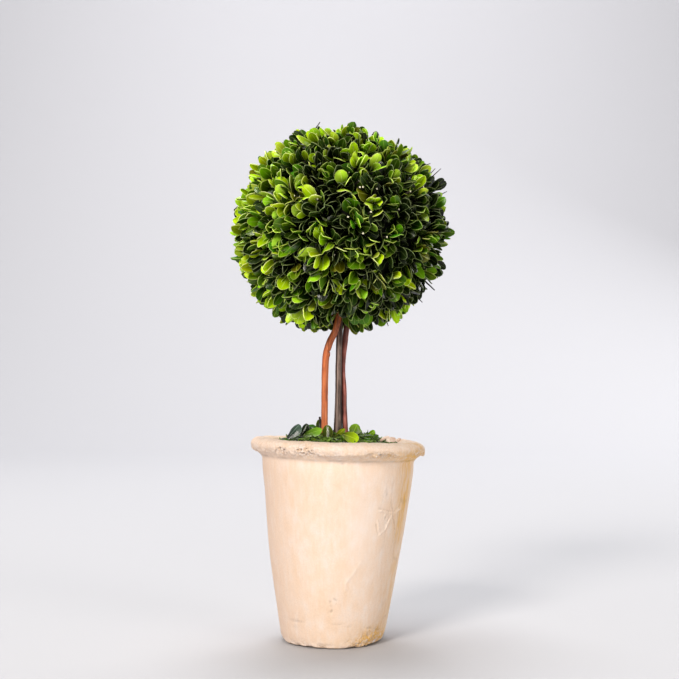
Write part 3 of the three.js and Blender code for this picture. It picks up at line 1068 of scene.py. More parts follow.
@dataclass
class BareStem:
    """One bare stem: a run of points with its radius at each, and its bark."""

    node: str
    slot: str
    run: tuple[tuple[float, float, float, float], ...]
    finish: StemBark
    sides: int = 32
    step: float = 0.75
    lumps: float = 0.12
    ridges: int = 0
    ridge_depth: float = 0.0
    nick_at: float | None = None
    nick_bearing: float = -20.0
    # Where a pale stripe of painted highlight runs up the stem.
    painted_highlight_bearing: float | None = None
    # Where the stem's edges are darkened as painted shade.
    painted_shade_bearings: tuple[float, ...] = ()

    def centreline(self) -> np.ndarray:
        """Thread a smooth line through the run, as the source's curve does.

        Returns:
            Rows of x, y, z and radius in millimetres, evenly close together.
        """
        stops = np.array(self.run)
        spans = []
        for i in range(len(stops) - 1):
            before = stops[i - 1] if i else 2 * stops[0] - stops[1]
            after = stops[i + 2] if i + 2 < len(stops) else 2 * stops[-1] - stops[-2]
            count = max(2, round(np.linalg.norm(stops[i + 1, :3] - stops[i, :3]) / self.step))
            t = (np.arange(count) / count)[:, None]
            a, b = stops[i], stops[i + 1]
            spans.append(
                0.5
                * (
                    2 * a
                    + (b - before) * t
                    + (2 * before - 5 * a + 4 * b - after) * t**2
                    + (3 * a - before - 3 * b + after) * t**3
                )
            )
        spans.append(stops[-1:])
        return np.concatenate(spans)

    def sweep(self, line: np.ndarray) -> Piece:
        """Draw a curve along the centreline, thick as the stem, and turn it into a closed mesh.

        Args:
            line: the centreline's rows of x, y, z and radius in millimetres.

        Returns:
            The smooth stem.
        """
        pick_nothing()
        bpy.ops.curve.primitive_nurbs_path_add(location=(0, 0, 0))
        path = bpy.context.object
        path.name = self.node + "_bark"
        path.data.splines.clear()
        path.data.dimensions = "3D"
        path.data.bevel_mode = "ROUND"
        path.data.bevel_depth = MM
        path.data.bevel_resolution = self.sides // 4 - 1
        path.data.use_fill_caps = True
        spline = path.data.splines.new("POLY")
        spline.points.add(len(line) - 1)
        spline.points.foreach_set("co", np.c_[line[:, :3] * MM, np.ones(len(line))].ravel())
        spline.points.foreach_set("radius", line[:, 3])
        pick(path)
        bpy.ops.object.convert(target="MESH")
        stem = bpy.context.object
        with edit_mode():
            bpy.ops.mesh.remove_doubles(threshold=0.01 * MM)
            bpy.ops.mesh.normals_make_consistent(inside=False)
        return stem

    def carve(self, stem: Piece, line: np.ndarray) -> None:
        """Work lumps, ridges and the nick into the bark, and paint its grooves with painted shade on its
        edges, and its stripe of painted highlight.

        Args:
            stem: the smooth stem.
            line: its centreline, as centreline gives it.
        """
        points = points_of(stem.data) / MM
        nearest = np.abs(points[:, None, 2] - line[None, :, 2]).argmin(1)
        centre = line[nearest]
        arm = points - centre[:, :3]
        arm[:, 2] = 0
        far = np.linalg.norm(arm, axis=1)
        outward = arm / np.maximum(far, 1e-6)[:, None]
        bearing = np.arctan2(arm[:, 1], arm[:, 0])
        round_stem = np.stack(
            [np.cos(bearing) * 3, np.sin(bearing) * 3, points[:, 2] + 200 * len(self.node)], 1
        )
        push = self.lumps * unevenness(round_stem, (3.5, 3.5, 9.0), 21, 2)
        push += 0.06 * unevenness(round_stem, (0.8, 0.8, 6.0), 22, 2)
        groove = np.clip(-unevenness(round_stem, (1.3, 1.3, 26.0), 23, 2) * 1.6, 0, 0.6)
        if self.ridges:
            wander = 0.5 * unevenness(round_stem, (3.0, 3.0, 24.0), 24)
            wave = np.cos(self.ridges * (bearing + wander))
            push += self.ridge_depth * wave
            groove = np.clip(groove * 0.5 + np.clip(-wave, 0, 1) * 0.7, 0, 1)
        if self.nick_at is not None:
            side = np.clip(np.cos(bearing - math.radians(self.nick_bearing)), 0, 1) ** 2
            ledge = points[:, 2] - self.nick_at - 0.4 * np.sin(3 * bearing)
            push -= 0.75 * side * np.exp(-((ledge / 1.0) ** 2))
            push += 0.4 * side * np.exp(-(((ledge + 2.4) / 1.5) ** 2))
            groove = np.maximum(groove, side * np.exp(-((ledge / 0.9) ** 2)))
        # The stripe is a painted highlight running up the stem.
        stripe = np.zeros(len(points))
        if self.painted_highlight_bearing is not None:
            off = turned_from(bearing, self.painted_highlight_bearing)
            off += 0.18 * unevenness(round_stem, (9.0, 9.0, 8.0), 25, 2)
            stripe = np.exp(-((off / 0.17) ** 2)) * (0.75 + 0.25 * unevenness(round_stem, (1, 1, 5), 26))
        # Painted shade: the stem's edges are darkened.
        for dark in self.painted_shade_bearings:
            off = turned_from(bearing, dark)
            off += 0.15 * unevenness(round_stem, (9.0, 9.0, 12.0), 27, 2)
            groove = np.maximum(groove, np.exp(-((off / 0.55) ** 2)))
        side_face = far > 0.5 * centre[:, 3]
        points += outward * (push * side_face)[:, None]
        set_points(stem.data, points * MM)
        paint(stem.data, "groove", np.clip(groove, 0, 1))
        paint(stem.data, "stripe", np.clip(stripe, 0, 1))

    def build(self) -> None:
        """Make the stem and set it in place of its CAD limb."""
        line = self.centreline()
        stem = self.sweep(line)
        self.carve(stem, line)
        finish_piece(stem, [self.node], [self.finish.material()], crease=50)

    def touches(self, place: Vector, room: float) -> bool:
        """Say whether a point, in millimetres, lies within some room of the stem's surface.

        Args:
            place: the point.
            room: how close is too close.

        Returns:
            True where it does.
        """
        for start, end in itertools.pairwise(self.run):
            a = Vector(start[:3])
            way = Vector(end[:3]) - a
            t = min(max((place - a).dot(way) / way.length_squared, 0), 1)
            if (a + way * t - place).length < end[3] + room:
                return True
        return False


def bare_stems() -> list[BareStem]:
    """Give the three stems and the broken shoot, with the sizes of the part's source.

    Returns:
        The stems, from left to right, and the shoot.
    """
    return [
        BareStem(
            "stem_left",
            "orange_bark",
            (
                (-6.8, -2.2, 146.3, 3.1), (-6.6, -2.2, 160, 2.7), (-6.4, -2.1, 187, 2.55),
                (-6.1, -2.2, 205, 2.65), (-5.3, -2.6, 218, 2.75), (-2.6, -3.4, 228, 2.75),
                (1.5, -4.6, 236.5, 2.65), (4.4, -6.2, 248, 2.5), (5.2, -6.8, 261, 2.3),
            ),
            StemBark("oiled orange bark", "#d06c34", "#7d3a1e", "#e08a5a", shine=0.42, relief=0.35),
            nick_at=221.0,
            painted_shade_bearings=(186.0,),
        ),
        BareStem(
            "stem_middle",
            "grey_bark",
            (
                (3.9, -0.8, 146.3, 3.6), (3.9, -0.8, 162, 3.2), (4.1, -0.7, 181, 2.6),
                (4.4, -0.6, 207, 2.4), (5.1, -0.4, 235, 2.35), (6, -0.2, 263, 2.1),
            ),
            StemBark("ridged grey bark", "#5e463c", "#1c0c0a", "#ac9488", shine=0.46, relief=0.8),
            sides=48,
            ridges=9,
            ridge_depth=0.16,
            painted_highlight_bearing=-108,
            painted_shade_bearings=(199.0, 2.0),
        ),
        BareStem(
            "stem_right",
            "red_bark",
            (
                (10.4, 1.6, 146.3, 2.5), (9.4, 2, 163, 2.25), (8.7, 2.6, 178, 2.1),
                (8.5, 2.9, 191, 2.15), (7.7, 3.2, 205, 1.95), (8.1, 3.5, 217, 2.1),
                (9.5, 3.6, 231, 2.35), (11, 3.5, 244, 2.45), (12.6, 3.2, 261, 2.3),
            ),
            StemBark("oiled red bark", "#8c4234", "#421812", "#c4786a", shine=0.42, relief=0.5),
            lumps=0.2,
            painted_shade_bearings=(188.0,),
        ),
        BareStem(
            "broken_shoot",
            "dark_bark",
            ((-7.4, 3.6, 146.3, 1.15), (-8.6, 3, 157, 1.05), (-10.4, 2.4, 170.4, 0.75)),
            StemBark("dark bark", "#33241a", "#140d09", "#54402f", shine=0.6, relief=0.8),
            sides=16,
            lumps=0.14,
        ),
    ]


class LeafForm(Enum):
    """How a blade is shaped: how far its sides drop, its tip curls, it twists, and how broad it is."""

    FLAT = (0.07, 0.02, 0.03, 1.0)
    CUPPED = (0.20, 0.06, -0.04, 1.04)
    CURLED = (0.13, 0.17, 0.10, 0.97)
    ROLLED = (0.32, 0.10, -0.08, 0.88)


def draw_leaf(draw: Callable[[], float]) -> tuple[LeafForm, int]:
    """Draw one leaf's form and its tile of the leaf map.

    Args:
        draw: the seeded stream.

    Returns:
        The form and the tile's number.
    """
    forms = list(LeafForm)
    form = forms[int(draw() * len(forms)) % len(forms)]
    return form, int(draw() * TILES * TILES) % (TILES * TILES)


class Tint(Enum):
    """The greens dealt to the sprays, darkest first: upper skin, underside, margin and share. The darkest
    stand partly for painted shade between the leaves and the brightest partly for painted light, the glow of
    lit leaves.
    """

    DARK = ("#0c1803", "#162704", "#6e7d4a", 0.27)
    DEEP = ("#1c3602", "#2a4c04", "#82944c", 0.19)
    OLIVE = ("#5c6402", "#787a04", "#b0b45c", 0.05)
    MID = ("#487202", "#689404", "#a8be50", 0.14)
    LEAF = ("#457f04", "#649c06", "#a4c050", 0.07)
    BRONZE = ("#84760a", "#90860a", "#b4a84c", 0.005)
    FRESH = ("#96c802", "#aed804", "#d8ec78", 0.20)
    LIME = ("#c8f004", "#d0f404", "#eefa94", 0.13)


@dataclass
class LeafBlade:
    """One box leaf, modelled once in a form: root at the origin, blade along +X, upper side up."""

    form: LeafForm
    length: float = BLADE_MM
    width: float = 7.9
    thickness: float = 0.34
    rows: tuple[tuple[float, float], ...] = (
        (0.0, 0.12), (0.27, 0.62), (0.55, 1.0), (0.78, 0.90), (0.93, 0.56), (1.0, 0.22),
    )
    columns: int = 4
    points: np.ndarray = field(init=False)
    corners: np.ndarray = field(init=False)
    sides: np.ndarray = field(init=False)
    places: np.ndarray = field(init=False)

    def model(self) -> None:
        """Shape the blade from a grid, row by row, give it its thickness, and keep it as arrays."""
        drop, curl, twist, breadth = self.form.value
        spans = len(self.rows) - 1
        # Each finished row waits this far away, so that no later row picks it too.
        parked = 10
        pick_nothing()
        bpy.ops.mesh.primitive_grid_add(
            x_subdivisions=spans, y_subdivisions=self.columns, size=2, location=(0, 0, 0)
        )
        leaf = bpy.context.object
        with edit_mode():
            for column in range(self.columns + 1):
                across = 2 * column / self.columns - 1
                pick_points(leaf, lambda co, at=across: abs(co.y - at) < 0.01)
                bpy.ops.transform.translate(value=(0, 0, -2 * drop * across**2))
            for row, (along, wide) in enumerate(self.rows):
                start = 2 * row / spans - 1
                pick_points(leaf, lambda co, at=start: abs(co.x - at) < 0.01)
                half = wide * breadth * self.width * MM / 2
                bpy.ops.transform.resize(value=(1, half, half), center_override=(start, 0, 0))
                bpy.ops.transform.rotate(
                    value=twist * along * 2, orient_axis="X", center_override=(start, 0, 0)
                )
                bow = -curl * self.length * MM * along**2
                bpy.ops.transform.translate(value=(along * self.length * MM - start - parked, 0, bow))
            bpy.ops.mesh.select_all(action="SELECT")
            bpy.ops.transform.translate(value=(parked, 0, 0))
        for _ in LeafSide:
            leaf.data.materials.append(None)
        skin = leaf.modifiers.new("thickness", "SOLIDIFY")
        skin.thickness = self.thickness * MM
        skin.offset = -1
        skin.material_offset = 1
        skin.material_offset_rim = 2
        apply_modifiers(leaf)
        self.read(leaf)
        bpy.data.objects.remove(leaf)

    def read(self, leaf: Piece) -> None:
        """Keep the blade's points, corners and sides, and lay its faces out on a map tile.

        Args:
            leaf: the modelled blade, whose own map still holds row and column.
        """
        mesh = leaf.data
        self.points = points_of(mesh)
        self.corners = np.array([list(face.vertices) for face in mesh.polygons])
        self.sides = np.array([face.material_index for face in mesh.polygons])
        grid = np.zeros(len(mesh.loops) * 2)
        mesh.uv_layers.active.data.foreach_get("uv", grid)
        grid = grid.reshape(-1, 4, 2)
        places = np.zeros_like(grid)
        half = len(self.points) // 2
        rim_faces = np.flatnonzero(self.sides == 2)
        for face, side in enumerate(self.sides):
            if side < 2:
                start = (LeafSide.UPPER, LeafSide.UNDER)[side].value
                places[face, :, 0] = start + ISLAND_WIDTH * grid[face, :, 1]
                places[face, :, 1] = ISLAND_FOOT + ISLAND_HEIGHT * grid[face, :, 0]
                continue
            number = int(np.flatnonzero(rim_faces == face)[0])
            ids = self.corners[face]
            first = ids[0] % half
            places[face, :, 0] = 0.04 + 0.92 * (number + (ids % half != first)) / len(rim_faces)
            places[face, :, 1] = np.where(ids < half, 0.96, 0.88)
        self.places = places / TILES


@dataclass
class Spray:
    """Leaves waiting to be joined: where each stands, how large it is, its form and its map tile."""

    frames: list[np.ndarray] = field(default_factory=list)
    feet: list[np.ndarray] = field(default_factory=list)
    forms: list[LeafForm] = field(default_factory=list)
    tiles: list[int] = field(default_factory=list)

    def add(self, turn: Matrix, foot: Vector, size: tuple[float, float], form: LeafForm, tile: int) -> None:
        """Add one leaf.

        Args:
            turn: the leaf's frame, blade along X and upper side along Z.
            foot: where its root is, in millimetres.
            size: its length and its width over the modelled blade's.
            form: which modelled blade it is a copy of.
            tile: which tile of the leaf map it wears.
        """
        scale = np.diag([size[0], size[1], (size[0] + size[1]) / 2])
        self.frames.append(np.array(turn) @ scale)
        self.feet.append(np.array(foot) * MM)
        self.forms.append(form)
        self.tiles.append(tile)

    def join(self, name: str, blades: dict[LeafForm, LeafBlade]) -> Piece:
        """Copy the blades to their places as one mesh.

        Args:
            name: the piece's name.
            blades: the modelled blade of each form.

        Returns:
            The joined leaves.
        """
        copies = []
        for turn, foot, form, tile in zip(self.frames, self.feet, self.forms, self.tiles):
            blade = blades[form]
            corner = np.array([tile % TILES, tile // TILES]) / TILES
            sizes = np.full(len(blade.corners), 4)
            points = blade.points @ turn.T + foot
            copies.append((points, blade.corners.ravel(), sizes, blade.sides, blade.places + corner))
        return joined_mesh(name, copies)


def leaf_skins(label: str, upper: str, under: str, margin: str) -> list[Material]:
    """Make the three skins of a leaf in one tint.

    Args:
        label: what the leaves are called in the skins' titles.
        upper: the colour of the upper skin.
        under: the colour of the underside.
        margin: the colour of the thin pale edge.

    Returns:
        The materials of the upper side, the underside and the rim.
    """
    skins = (
        LeafSkin(f"{label}, waxy upper skin", LeafSide.UPPER, upper, margin, margin),
        LeafSkin(f"{label}, duller underside", LeafSide.UNDER, under, margin, margin, 0.32, 0.1, 0.1, 0.3),
        LeafSkin(f"{label}, pale rim", LeafSide.RIM, margin, gloss=0.5),
    )
    return [skin.material() for skin in skins]


@dataclass
class Shoot:
    """One leafy shoot in millimetres: its foot, heading, length, roll and the reach of its leaves."""

    foot: Vector
    heading: Vector
    length: float
    roll: float
    reach: float
    clipped: bool = False

    @property
    def tip(self) -> Vector:
        """Give the shoot's upper end."""
        return self.foot + self.heading * self.length


@dataclass
class ClippedBall:
    """The ball: sprigs by the source's seeded rule, each branching into finer leafy shoots."""

    stems: list[BareStem]
    centre: Vector = field(default_factory=lambda: Vector((6.6, 0.0, 315.5)))
    reach: float = 88.6
    flatness: float = 0.975
    reach_spread: float = 2.4
    sprigs: int = 106
    sprig_root: float = 66.0
    sprig_tip: float = 79.5
    sprig_lean: float = 0.2
    heart: float = 56.0
    shoot_tip: float = 73.2
    # The ball was pressed a little down and to the left, so its leaves lean that way.
    lean: Vector = field(default_factory=lambda: Vector((-0.17, 0.0, -0.19)))
    seed: int = 7
    # Distance under the shoot's tip in mm, spread from it in radians, and size of each leaf pair.
    pairs: tuple[tuple[float, float, float], ...] = (
        (0.4, 0.15, 0.92), (3.2, 0.28, 1.12), (7.4, 0.44, 1.18), (12.0, 0.62, 1.10),
    )
    play: float = 0.2
    fine_shoots: int = 4
    raggedness: float = 4.6
    clipped_sprigs: float = 0.2
    clipped_shoots: float = 0.16
    stray_tints: float = 0.3
    # A leaf that reaches too far is pushed in by this much before it is made shorter.
    push_in: float = 5.0
    # Room in mm between a stem and a leaf's foot, middle and tip.
    stem_room: tuple[float, float, float] = (2.0, 4.2, 2.2)
    # The gap under the ball in which the stems show: its middle, half width, top and back.
    opening: tuple[float, float, float, float] = (6.5, 7.5, 242.0, 4.0)
    cut_reach: float = 81.5
    blades: dict[LeafForm, LeafBlade] = field(default_factory=dict)
    shoots: list[Shoot] = field(default_factory=list)

    def grow(self) -> None:
        """Grow every sprig and its side shoots from the ball's heart."""
        for i in range(self.sprigs):
            draw = seeded_stream(self.seed * 1000 + i)
            z = 1 - (2 * (i + 0.5)) / self.sprigs
            flat = math.sqrt(1 - z * z)
            outward = Vector((flat * math.cos(i * GOLDEN_ANGLE), flat * math.sin(i * GOLDEN_ANGLE), z))
            sway = Vector((draw() - 0.5, draw() - 0.5, draw() - 0.5))
            heading = (outward + sway * 2 * self.sprig_lean).normalized()
            root = self.centre + outward * self.sprig_root
            length = self.sprig_tip - self.sprig_root + (draw() - 0.5) * self.reach_spread
            reach = self.reach + (draw() - 0.5) * 2 * self.reach_spread
            roll = draw() * math.pi
            self.branch(i, root, heading, length, reach, roll)

    def branch(
        self, i: int, root: Vector, heading: Vector, length: float, reach: float, roll: float
    ) -> None:
        """Carry one sprig on to its finer shoots.

        Args:
            i: the sprig's number.
            root: where the source roots it.
            heading: which way it grows.
            length: how long the source's twig is.
            reach: how far from the ball's centre its leaves may reach.
            roll: how its leaf pairs are turned.
        """
        draw = seeded_stream(self.seed * 1000 + 500 + i)
        foot = root - heading * (self.sprig_root - self.heart + 2)
        down = self.sprig_tip - self.shoot_tip
        full = length + self.sprig_root - self.heart + 2 - down
        reach += self.swell(heading)
        full += self.swell(heading)
        self.shoots.append(Shoot(foot, heading, full, roll, reach, draw() < self.clipped_sprigs))
        side = frame_along(heading, roll)
        for j in range(self.fine_shoots):
            turn = math.tau * (j + 0.4 * (draw() - 0.5)) / self.fine_shoots
            aside = side @ Vector((0, math.cos(turn), math.sin(turn)))
            start = foot + heading * (3.0 + 1.4 * j + 1.5 * draw())
            spread = 9.6 + 3.0 * (draw() - 0.5)
            away = (root - self.centre).normalized() * self.shoot_tip + aside * spread
            away.normalize()
            # Its top was clipped closer than its sides.
            ragged = self.raggedness * (1 - 0.6 * max(0.0, away.z) ** 4)
            goal = self.shoot_tip + (draw() - 0.5) * 2 * ragged + self.swell(away)
            way = self.centre + away * goal - start
            self.shoots.append(
                Shoot(
                    start,
                    way.normalized(),
                    way.length,
                    draw() * math.pi,
                    self.reach + (draw() - 0.5) * 2 * ragged + self.swell(away),
                    draw() < self.clipped_shoots,
                )
            )

    def swell(self, outward: Vector) -> float:
        """Say how much fuller the ball is in a direction, in millimetres: it was clipped by eye.

        Args:
            outward: the direction, of length one.

        Returns:
            The millimetres to add to the ball's reach there.
        """
        lobes = (
            (0.74, 0.0, 0.67, 2.6), (0.97, 0.0, 0.23, -1.0), (0.85, 0.0, -0.53, -2.6),
            (0.10, 0.0, -1.0, -7.8), (0.60, 0.0, -0.80, -1.8), (-0.97, 0.0, 0.22, -2.6),
            (-0.92, 0.0, -0.40, -1.8), (0.22, 0.0, 0.97, -1.2), (-0.30, 0.0, 0.95, 1.8),
        )
        return sum(high * max(0.0, outward.dot(Vector((x, y, z)))) ** 6 for x, y, z, high in lobes)

    def flattened(self, place: Vector) -> Vector:
        """Bring a point to the ball's height, which is a little less than its width."""
        return Vector((place.x, place.y, self.centre.z + (place.z - self.centre.z) * self.flatness))

    def near_stem(self, place: Vector, room: float) -> bool:
        """Say whether a point lies within some room of any stem."""
        return any(stem.touches(place, room) for stem in self.stems)

    def hides_stems(self, tip: Vector) -> bool:
        """Say whether a leaf would hang in front of the stems, where the ball is open."""
        middle, half, top, back = self.opening
        return tip.z < top and tip.y < back and abs(tip.x - middle) < half

    def deal(self, draw: Callable[[], float], outward: Vector) -> Tint:
        """Deal one tint by its share: brighter ones more often on the ball's left and top, darker ones in the
        middle of its front and underneath, as painted light and painted shade.

        Args:
            draw: the seeded stream.
            outward: the direction of the spray from the ball's centre.

        Returns:
            The tint.
        """
        # Painted shade in the middle of the ball's front, where the leaves are seen end on.
        shaded = max(0.0, outward.dot(Vector((0.18, -0.98, 0.06)))) ** 6
        under = max(0.0, -outward.z)
        # Painted light: brighter tints to the left and on top, fewer in the painted shade in front.
        painted_light = 0.56 - 0.8 * outward.x + 0.6 * outward.z - 1.1 * shaded
        # Painted shade underneath, less of it at the lower left.
        painted_light -= under * (0.7 - 0.7 * max(0.0, -outward.x))
        lot = draw() ** (2**-painted_light) * sum(tint.value[3] for tint in Tint)
        for tint in Tint:
            lot -= tint.value[3]
            if lot <= 0:
                return tint
        return Tint.DEEP

    def leaf_out(self) -> dict[Tint, Spray]:
        """Set crossed leaf pairs along every shoot.

        Returns:
            The leaves of each tint.
        """
        sprays = {tint: Spray() for tint in Tint}
        for number, shoot in enumerate(self.shoots):
            draw = seeded_stream(self.seed * 100000 + number)
            outward = (shoot.tip - self.centre).normalized()
            low = max(0.0, -outward.z)
            # Lower down the leaves are larger and hang by their weight.
            leaning = (shoot.heading + self.lean - Vector((0, 0, 0.35 * low))).normalized()
            tint = self.deal(draw, outward)
            main = number % (self.fine_shoots + 1) == 0
            # The heart would show on top and straight in front.
            filled = outward.z > 0.6 or outward.y < -0.75
            for level, (under, spread, size) in enumerate(self.pairs):
                if level == 0 and shoot.clipped or level == 3 and not (main or filled):
                    continue
                node = shoot.tip - shoot.heading * under
                quarter = shoot.roll + level * math.pi / 2
                for half in (0, math.pi):
                    turn = frame_along(leaning, quarter + half + (draw() - 0.5) * 2 * self.play)
                    angle = spread + (draw() - 0.5) * 2 * self.play
                    turn = turn @ Matrix.Rotation(-angle, 3, "Y")
                    # The upper skin faces the shoot's tip.
                    turn = turn @ Matrix.Rotation(math.pi + (draw() - 0.5) * 1.9, 3, "X")
                    blade = turn.col[0]
                    grown = 1 - 0.14 * outward.z - 0.08 * outward.x
                    long = (grown + 0.2 * low) * size * (0.80 + 0.42 * draw())
                    wide = grown * size * (0.82 + 0.46 * draw())
                    form, tile = draw_leaf(draw)
                    other = self.deal(draw, outward) if draw() < self.stray_tints else tint
                    # Further in, more of them are dark, as painted shade between the outer leaves.
                    if level > 1 and draw() < 0.3 * level:
                        other = Tint.DARK if draw() < 0.5 else Tint.DEEP
                    foot = node + blade * 0.4
                    length = BLADE_MM * long
                    reach = shoot.reach + 3.0 * (draw() - 0.5)
                    beyond = (foot + blade * length - self.centre).length - reach
                    if beyond > 0:
                        foot -= blade * min(beyond, self.push_in)
                        length -= max(beyond - self.push_in, 0)
                    tip = foot + blade * length
                    places = (foot, foot + blade * length * 0.6, tip)
                    if any(self.near_stem(place, room) for place, room in zip(places, self.stem_room)):
                        continue
                    if self.hides_stems(tip):
                        continue
                    stretch = Matrix.Diagonal(Vector((1, 1, self.flatness))) @ turn
                    sprays[other].add(stretch, self.flattened(foot), (length / BLADE_MM, wide), form, tile)
        return sprays

    def twig_rings(self, stops: list[tuple[Vector, float]], sides: int) -> tuple[np.ndarray, ...]:
        """Make a thin tapering tube through stops of place and radius.

        Args:
            stops: places and radii in millimetres, foot first.
            sides: how many sides the tube has.

        Returns:
            Its points in metres, its face corners, the size of each face and each face's slot.
        """
        rings, corners, sizes, slots = [], [], [], []
        for n, (place, radius) in enumerate(stops):
            ahead = stops[min(n + 1, len(stops) - 1)][0] - stops[max(n - 1, 0)][0]
            turn = frame_along(ahead, 0.0)
            for k in range(sides):
                angle = math.tau * k / sides
                arm = turn @ Vector((0, math.cos(angle), math.sin(angle)))
                rings.append((place + arm * radius) * MM)
        for n in range(len(stops) - 1):
            for k in range(sides):
                a = n * sides + k
                b = n * sides + (k + 1) % sides
                corners += [a, b, b + sides, a + sides]
                sizes.append(4)
                slots.append(0)
        last = (len(stops) - 1) * sides
        corners += list(reversed(range(sides)))
        corners += list(range(last, last + sides))
        sizes += [sides, sides]
        slots += [0, 1]
        return np.array(rings), np.array(corners), np.array(sizes), np.array(slots)

    def twigs(self) -> Piece:
        """Join the shoots' twigs, the clipped ones with a pale cut end, and a few stray ends.

        Returns:
            All twigs as one mesh.
        """
        parts = []
        for number, shoot in enumerate(self.shoots):
            draw = seeded_stream(self.seed * 300000 + number)
            tip = shoot.tip + shoot.heading * (2.5 + 2.0 * draw() if shoot.clipped else 0.0)
            if self.near_stem(tip, 1.5) or self.near_stem(shoot.foot, 1.0):
                continue
            bow = Vector((draw() - 0.5, draw() - 0.5, draw() - 0.5)) * 1.6
            middle = (shoot.foot + tip) / 2 + bow
            thick = 0.62 + 0.16 * draw()
            stops = [(shoot.foot, 1.0), (middle, 0.8), (tip, thick if shoot.clipped else 0.4)]
            parts.append([(self.flattened(place), radius) for place, radius in stops])
        for low, deep, high, reach, thick in self.stray_ends():
            start, end = (
                self.centre + Vector((math.cos(math.radians(a)), 0, math.sin(math.radians(a)))) * r
                for a, r in ((low, deep), (high, reach))
            )
            parts.append([(start, thick), ((start + end) / 2, thick), (end, 0.6 * thick)])
        for x, z in self.cut_ends():
            end = Vector((x, -math.sqrt(self.cut_reach**2 - x * x - z * z), z))
            start = self.centre + end * 0.72
            parts.append([(start, 0.8), (self.centre + end * 0.9, 0.75), (self.centre + end, 0.75)])
        return joined_mesh("crown_twigs", [self.twig_rings(stops, 6) for stops in parts])

    def stray_ends(self) -> list[tuple[float, ...]]:
        """Give the dark ends that stick out: bearing and reach of foot and of tip, and thickness.

        Returns:
            Degrees and millimetres from the ball's centre, seen from the front.
        """
        return [
            (111.8, 75.0, 101.1, 87.5, 0.6), (111.3, 74.5, 101.0, 83.4, 0.35),
            (88.0, 76.0, 85.5, 86.0, 0.4), (41.5, 72.0, 37.3, 87.7, 0.5),
            (31.0, 73.5, 33.8, 88.5, 0.45), (29.8, 75.0, 32.2, 92.2, 0.45),
            (19.5, 73.0, 20.6, 88.2, 0.45), (-30.0, 70.0, -32.6, 86.4, 0.7),
            (-57.0, 68.0, -57.0, 84.0, 0.5), (-41.0, 70.0, -41.6, 84.5, 0.55),
            (-63.0, 70.0, -63.9, 83.0, 0.55),
        ]

    def cut_ends(self) -> list[tuple[float, float]]:
        """Give the pale clipped ends that show in the ball's gaps, across and up from its centre.

        Returns:
            Millimetres across and up.
        """
        return [
            (-34.3, 15.5), (15.3, 21.1), (21.0, 2.9), (4.5, -1.1), (32.6, -14.4), (-5.5, -27.8),
            (-46.0, -39.2), (25.4, 20.2), (60.9, 26.4), (50.3, 20.8), (13.1, 20.9), (21.1, -5.0),
            (15.3, -12.6), (12.6, -45.5), (-17.3, 12.1),
        ]

    def core(self) -> Piece:
        """Model the mossy heart that closes the gaps between the shoots, near-black as painted shade.

        Returns:
            The heart.
        """
        pick_nothing()
        bpy.ops.mesh.primitive_ico_sphere_add(
            subdivisions=5, radius=(self.heart + 3) * MM, location=self.centre * MM
        )
        heart = bpy.context.object
        heart.name = "crown_heart"
        with edit_mode():
            bpy.ops.transform.resize(value=(1, 1, self.flatness), center_override=self.centre * MM)
        bpy.ops.object.transform_apply()
        points = points_of(heart.data) / MM
        arm = points - np.array(self.centre)
        arm /= np.linalg.norm(arm, axis=1)[:, None]
        swell = 2.2 * unevenness(points, 9.0, 31, 2) + 1.0 * unevenness(points, 3.5, 32)
        set_points(heart.data, (points + arm * swell[:, None]) * MM)
        return heart

    def build(self) -> None:
        """Make the ball's heart, twigs and leaves in place of the CAD crown."""
        self.grow()
        heart = self.core()
        # The heart's near-black colour is painted shade in the gaps between the leaves.
        moss = Mottled("dark moss heart", "#060803", "#141a08", 3.0, 0.95, 0.7)
        finish_piece(heart, ["crown"], [moss.material()], crease=60)
        twigs = self.twigs()
        # The twigs' bark is near-black, partly painted shade in the gaps of the ball.
        bark = StemBark("twig bark", "#1c150b", "#0a0704", "#3c301c", shine=0.8, relief=0.5)
        cut = Mottled("clipped twig end, bare wood", "#c9c39c", "#f2efd6", 0.5, 0.6, 0.1)
        finish_piece(twigs, ["crown"], [bark.material(), cut.material()], crease=50)
        for tint, spray in self.leaf_out().items():
            label = tint.name.lower()
            leaves = spray.join(f"crown_leaves_{label}", self.blades)
            upper, under, margin, _ = tint.value
            skins = leaf_skins(f"kept box leaf, {label}", upper, under, margin)
            finish_piece(leaves, ["crown"], skins)
            log.info("%s holds %d leaves", leaves.name, len(spray.feet))


class LitterTint(Enum):
    """The greens of the cut leaves in the litter: upper skin, underside and margin."""

    DARK = ("#122406", "#24400c", "#5c7638")
    MID = ("#386410", "#4f7e18", "#8aa84c")
    FRESH = ("#74a808", "#84b010", "#aacc50")
    LIME = ("#acd604", "#b4dc08", "#d2ea50")
    GREY = ("#3c5444", "#546e5c", "#9cb0a0")
    OLIVE = ("#7c8c1c", "#949c2c", "#bcc060")
    BROWN = ("#4c6010", "#5c6818", "#94a050")


